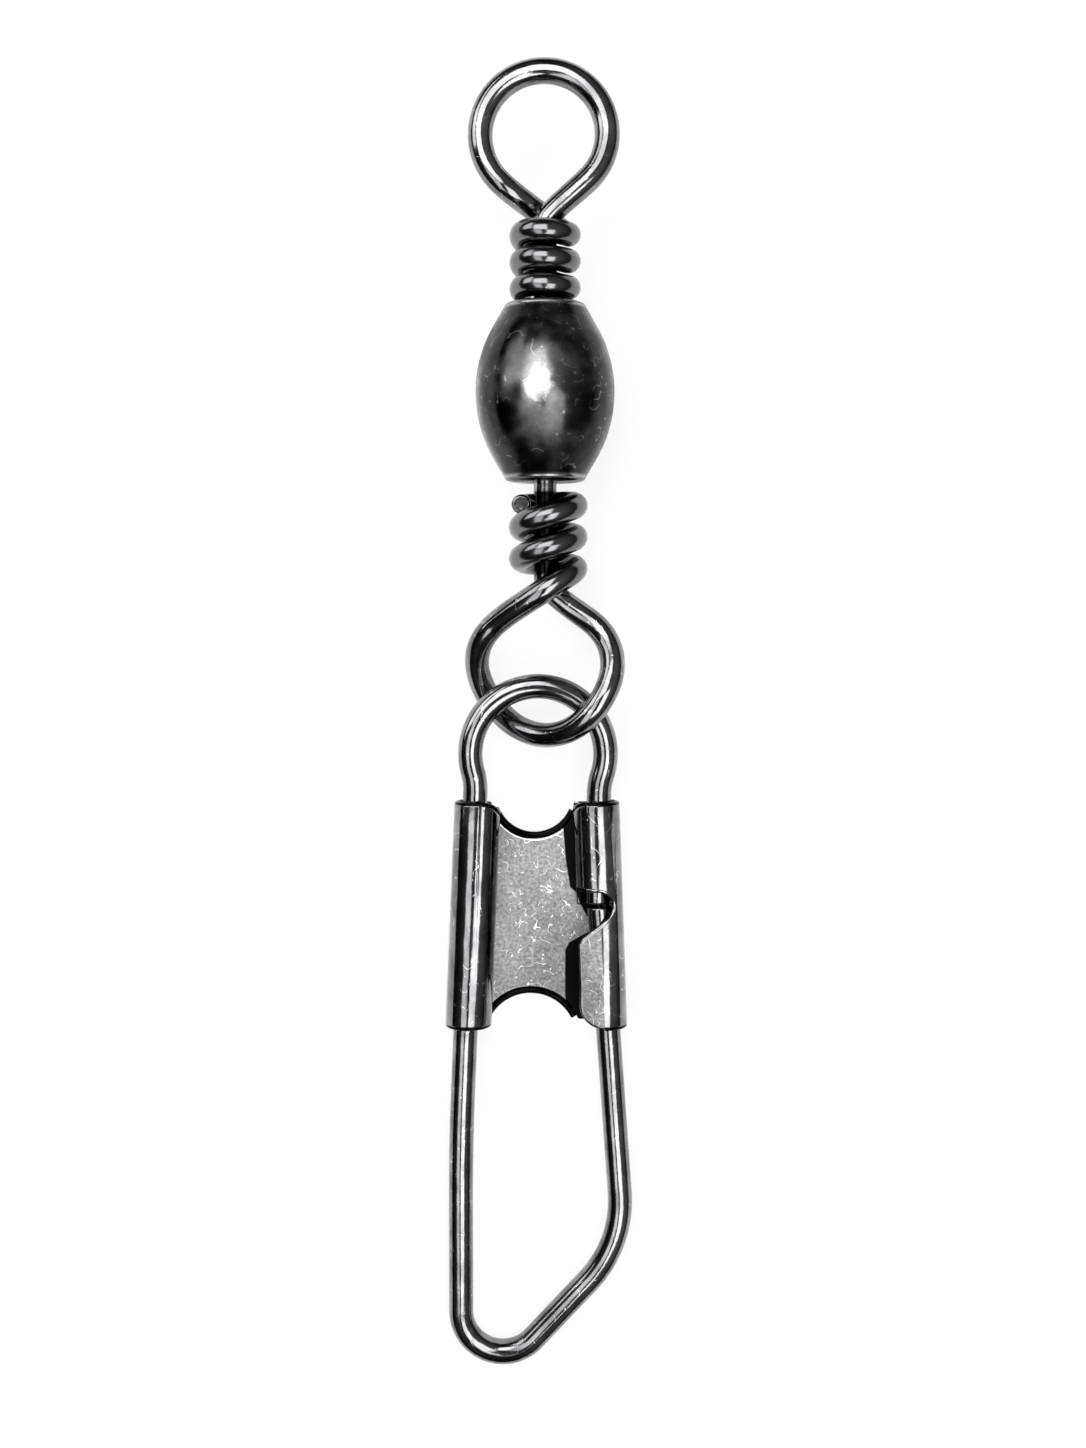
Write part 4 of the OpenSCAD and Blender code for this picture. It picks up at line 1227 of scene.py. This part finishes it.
def lay_floor(stage):
    deselect()
    bpy.ops.mesh.primitive_circle_add(vertices=64, radius=1.5, fill_type="NGON", location=(0, 0, 0))
    floor = bpy.context.active_object
    floor.name = "floor"
    material = bpy.data.materials.new("Pale floor")
    material.use_nodes = True
    tree = material.node_tree
    shader = tree.nodes["Principled BSDF"]
    shader.inputs["Base Color"].default_value = (*stage.floor_colour, 1)
    shader.inputs["Roughness"].default_value = 1.0
    shader.inputs["Specular IOR Level"].default_value = 0.0
    glow = node(tree, "ShaderNodeEmission", (0, -300))
    glow.inputs["Color"].default_value = (1, 1, 1, 1)
    path = node(tree, "ShaderNodeLightPath", (-600, 300))
    mirrored = math_node(tree, (-400, 200), "MAXIMUM", path.outputs["Is Glossy Ray"], path.outputs["Is Transmission Ray"])
    mirrored = math_node(tree, (-200, 200), "MULTIPLY", mirrored, stage.floor_mirrored)
    seen = math_node(tree, (-200, 400), "MULTIPLY", path.outputs["Is Camera Ray"], stage.floor_seen)
    share = math_node(tree, (0, 300), "MAXIMUM", seen, mirrored)
    mix = node(tree, "ShaderNodeMixShader", (250, 0))
    link(tree, share, mix.inputs["Fac"])
    link(tree, shader.outputs["BSDF"], mix.inputs[1])
    link(tree, glow.outputs["Emission"], mix.inputs[2])
    link(tree, mix.outputs["Shader"], tree.nodes["Material Output"].inputs["Surface"])
    floor.data.materials.append(material)


# Each panel's sides in millimetres round the camera, left, right, near end and far end, and its share
PANELS = {
    "left": (-60, -18, -70, 8, 0.6),
    "right": (7, 46, -70, 8, 1.15),
    "far": (-56, 8, 14, 78, 1.15),
    "near": (-1, 7, -70, -38, 1.3),
    "side": (-240, -72, 30, 160, 0.8),
}


def hang_panels(stage):
    for name, (left, right, near, far, share) in PANELS.items():
        width, length = (right - left) * MM, (far - near) * MM
        light = bpy.data.lights.new("panel_" + name, "AREA")
        light.shape = "RECTANGLE"
        light.size = width
        light.size_y = length
        light.energy = stage.panel_glow * share * math.pi * width * length
        lamp = bpy.data.objects.new("panel_" + name, light)
        lamp.location = (
            stage.camera_x + (left + right) / 2 * MM,
            stage.camera_y + (near + far) / 2 * MM,
            stage.camera_height + 1 * MM,
        )
        lamp.visible_camera = False
        bpy.context.scene.collection.objects.link(lamp)


def light_room(scene, stage):
    """A dim room, brighter overhead to the sides and darkest along the swivel"""
    world = bpy.data.worlds.new("Room")
    world.use_nodes = True
    tree = world.node_tree
    way = node(tree, "ShaderNodeTexCoord", (-1200, 0)).outputs["Generated"]
    split = node(tree, "ShaderNodeSeparateXYZ", (-1000, 0))
    link(tree, way, split.inputs["Vector"])
    up = math_node(tree, (-800, 200), "MULTIPLY", split.outputs["Z"], 1.0, clamp=True)
    side = math_node(tree, (-800, 0), "MULTIPLY", split.outputs["X"], 0.35)
    side = math_node(tree, (-600, 0), "ADD", side, 0.42)
    wide = math_node(tree, (-800, -200), "ABSOLUTE", split.outputs["X"])
    wide = math_node(tree, (-600, -200), "MULTIPLY", wide, 3.0, clamp=True)
    wide = math_node(tree, (-400, -200), "MULTIPLY", wide, 0.9)
    wide = math_node(tree, (-200, -200), "ADD", wide, 0.1)
    glow = math_node(tree, (-400, 100), "MULTIPLY", up, side)
    glow = math_node(tree, (-200, 100), "MULTIPLY", glow, wide)
    glow = math_node(tree, (0, 100), "MULTIPLY", glow, stage.room_glow)
    background = tree.nodes["Background"]
    background.inputs["Color"].default_value = (1, 1, 1, 1)
    link(tree, glow, background.inputs["Strength"])
    scene.world = world


def place_camera(scene, stage):
    data = bpy.data.cameras.new("camera")
    data.sensor_fit = "VERTICAL"
    data.sensor_height = 24.0
    data.lens = data.sensor_height * stage.pixels_per_slope / IMAGE_H
    data.clip_start = 0.001
    data.clip_end = 10
    camera = bpy.data.objects.new("camera", data)
    camera.location = (stage.camera_x, stage.camera_y, stage.camera_height)
    scene.collection.objects.link(camera)
    scene.camera = camera


class SWIVEL_PT_panel(bpy.types.Panel):
    """Lists the swivel's operators"""

    bl_idname = "SWIVEL_PT_panel"
    bl_label = "Snap swivel"
    bl_space_type = "VIEW_3D"
    bl_region_type = "UI"
    bl_category = "Swivel"

    def draw(self, context):
        column = self.layout.column()
        for step in STEPS:
            column.operator("swivel." + step)


STEPS = (
    "mix_finishes",
    "bend_upper_eye",
    "bend_lower_eye",
    "spin_barrel",
    "bend_snap_wire",
    "fold_clasp",
    "set_stage",
)

CLASSES = (
    EyeSizes,
    BarrelSizes,
    SnapSizes,
    FinishSettings,
    StageSettings,
    SWIVEL_OT_mix_finishes,
    SWIVEL_OT_bend_upper_eye,
    SWIVEL_OT_bend_lower_eye,
    SWIVEL_OT_spin_barrel,
    SWIVEL_OT_bend_snap_wire,
    SWIVEL_OT_fold_clasp,
    SWIVEL_OT_set_stage,
    SWIVEL_PT_panel,
)


def register():
    for kind in CLASSES:
        bpy.utils.register_class(kind)
    bpy.types.Scene.swivel_upper_eye = bpy.props.PointerProperty(type=EyeSizes)
    bpy.types.Scene.swivel_lower_eye = bpy.props.PointerProperty(type=EyeSizes)
    bpy.types.Scene.swivel_barrel = bpy.props.PointerProperty(type=BarrelSizes)
    bpy.types.Scene.swivel_snap = bpy.props.PointerProperty(type=SnapSizes)
    bpy.types.Scene.swivel_finish = bpy.props.PointerProperty(type=FinishSettings)
    bpy.types.Scene.swivel_stage = bpy.props.PointerProperty(type=StageSettings)


def unregister():
    del bpy.types.Scene.swivel_stage
    del bpy.types.Scene.swivel_finish
    del bpy.types.Scene.swivel_snap
    del bpy.types.Scene.swivel_barrel
    del bpy.types.Scene.swivel_lower_eye
    del bpy.types.Scene.swivel_upper_eye
    for kind in reversed(CLASSES):
        bpy.utils.unregister_class(kind)


def open_lower_eye(eye):
    """The snap side's eye is more open than the line side's, and twisted"""
    eye.rx, eye.ry, eye.reach, eye.ring_shift = 3.5 * MM, 3.18 * MM, 4.5 * MM, 0.0
    eye.leg, eye.turn, eye.twist = math.radians(42), math.radians(990), math.radians(36)
    eye.pitch, eye.flat, eye.tuck = 1.53 * MM, -0.62, 0.4 * MM
    eye.gap, eye.play, eye.coil_shift = 0.42 * MM, 0.16 * MM, -0.15 * MM
    eye.wound_d, eye.cut_d = 1.22 * MM, 0.95 * MM
    eye.coil_pull, eye.front_pull, eye.back_pull, eye.shank_pull = 2.0 * MM, 2.5 * MM, 2.5 * MM, 2.2 * MM


def main():
    register()
    open_lower_eye(bpy.context.scene.swivel_lower_eye)
    for step in STEPS:
        getattr(bpy.ops.swivel, step)()


if __name__ == "__main__":
    main()
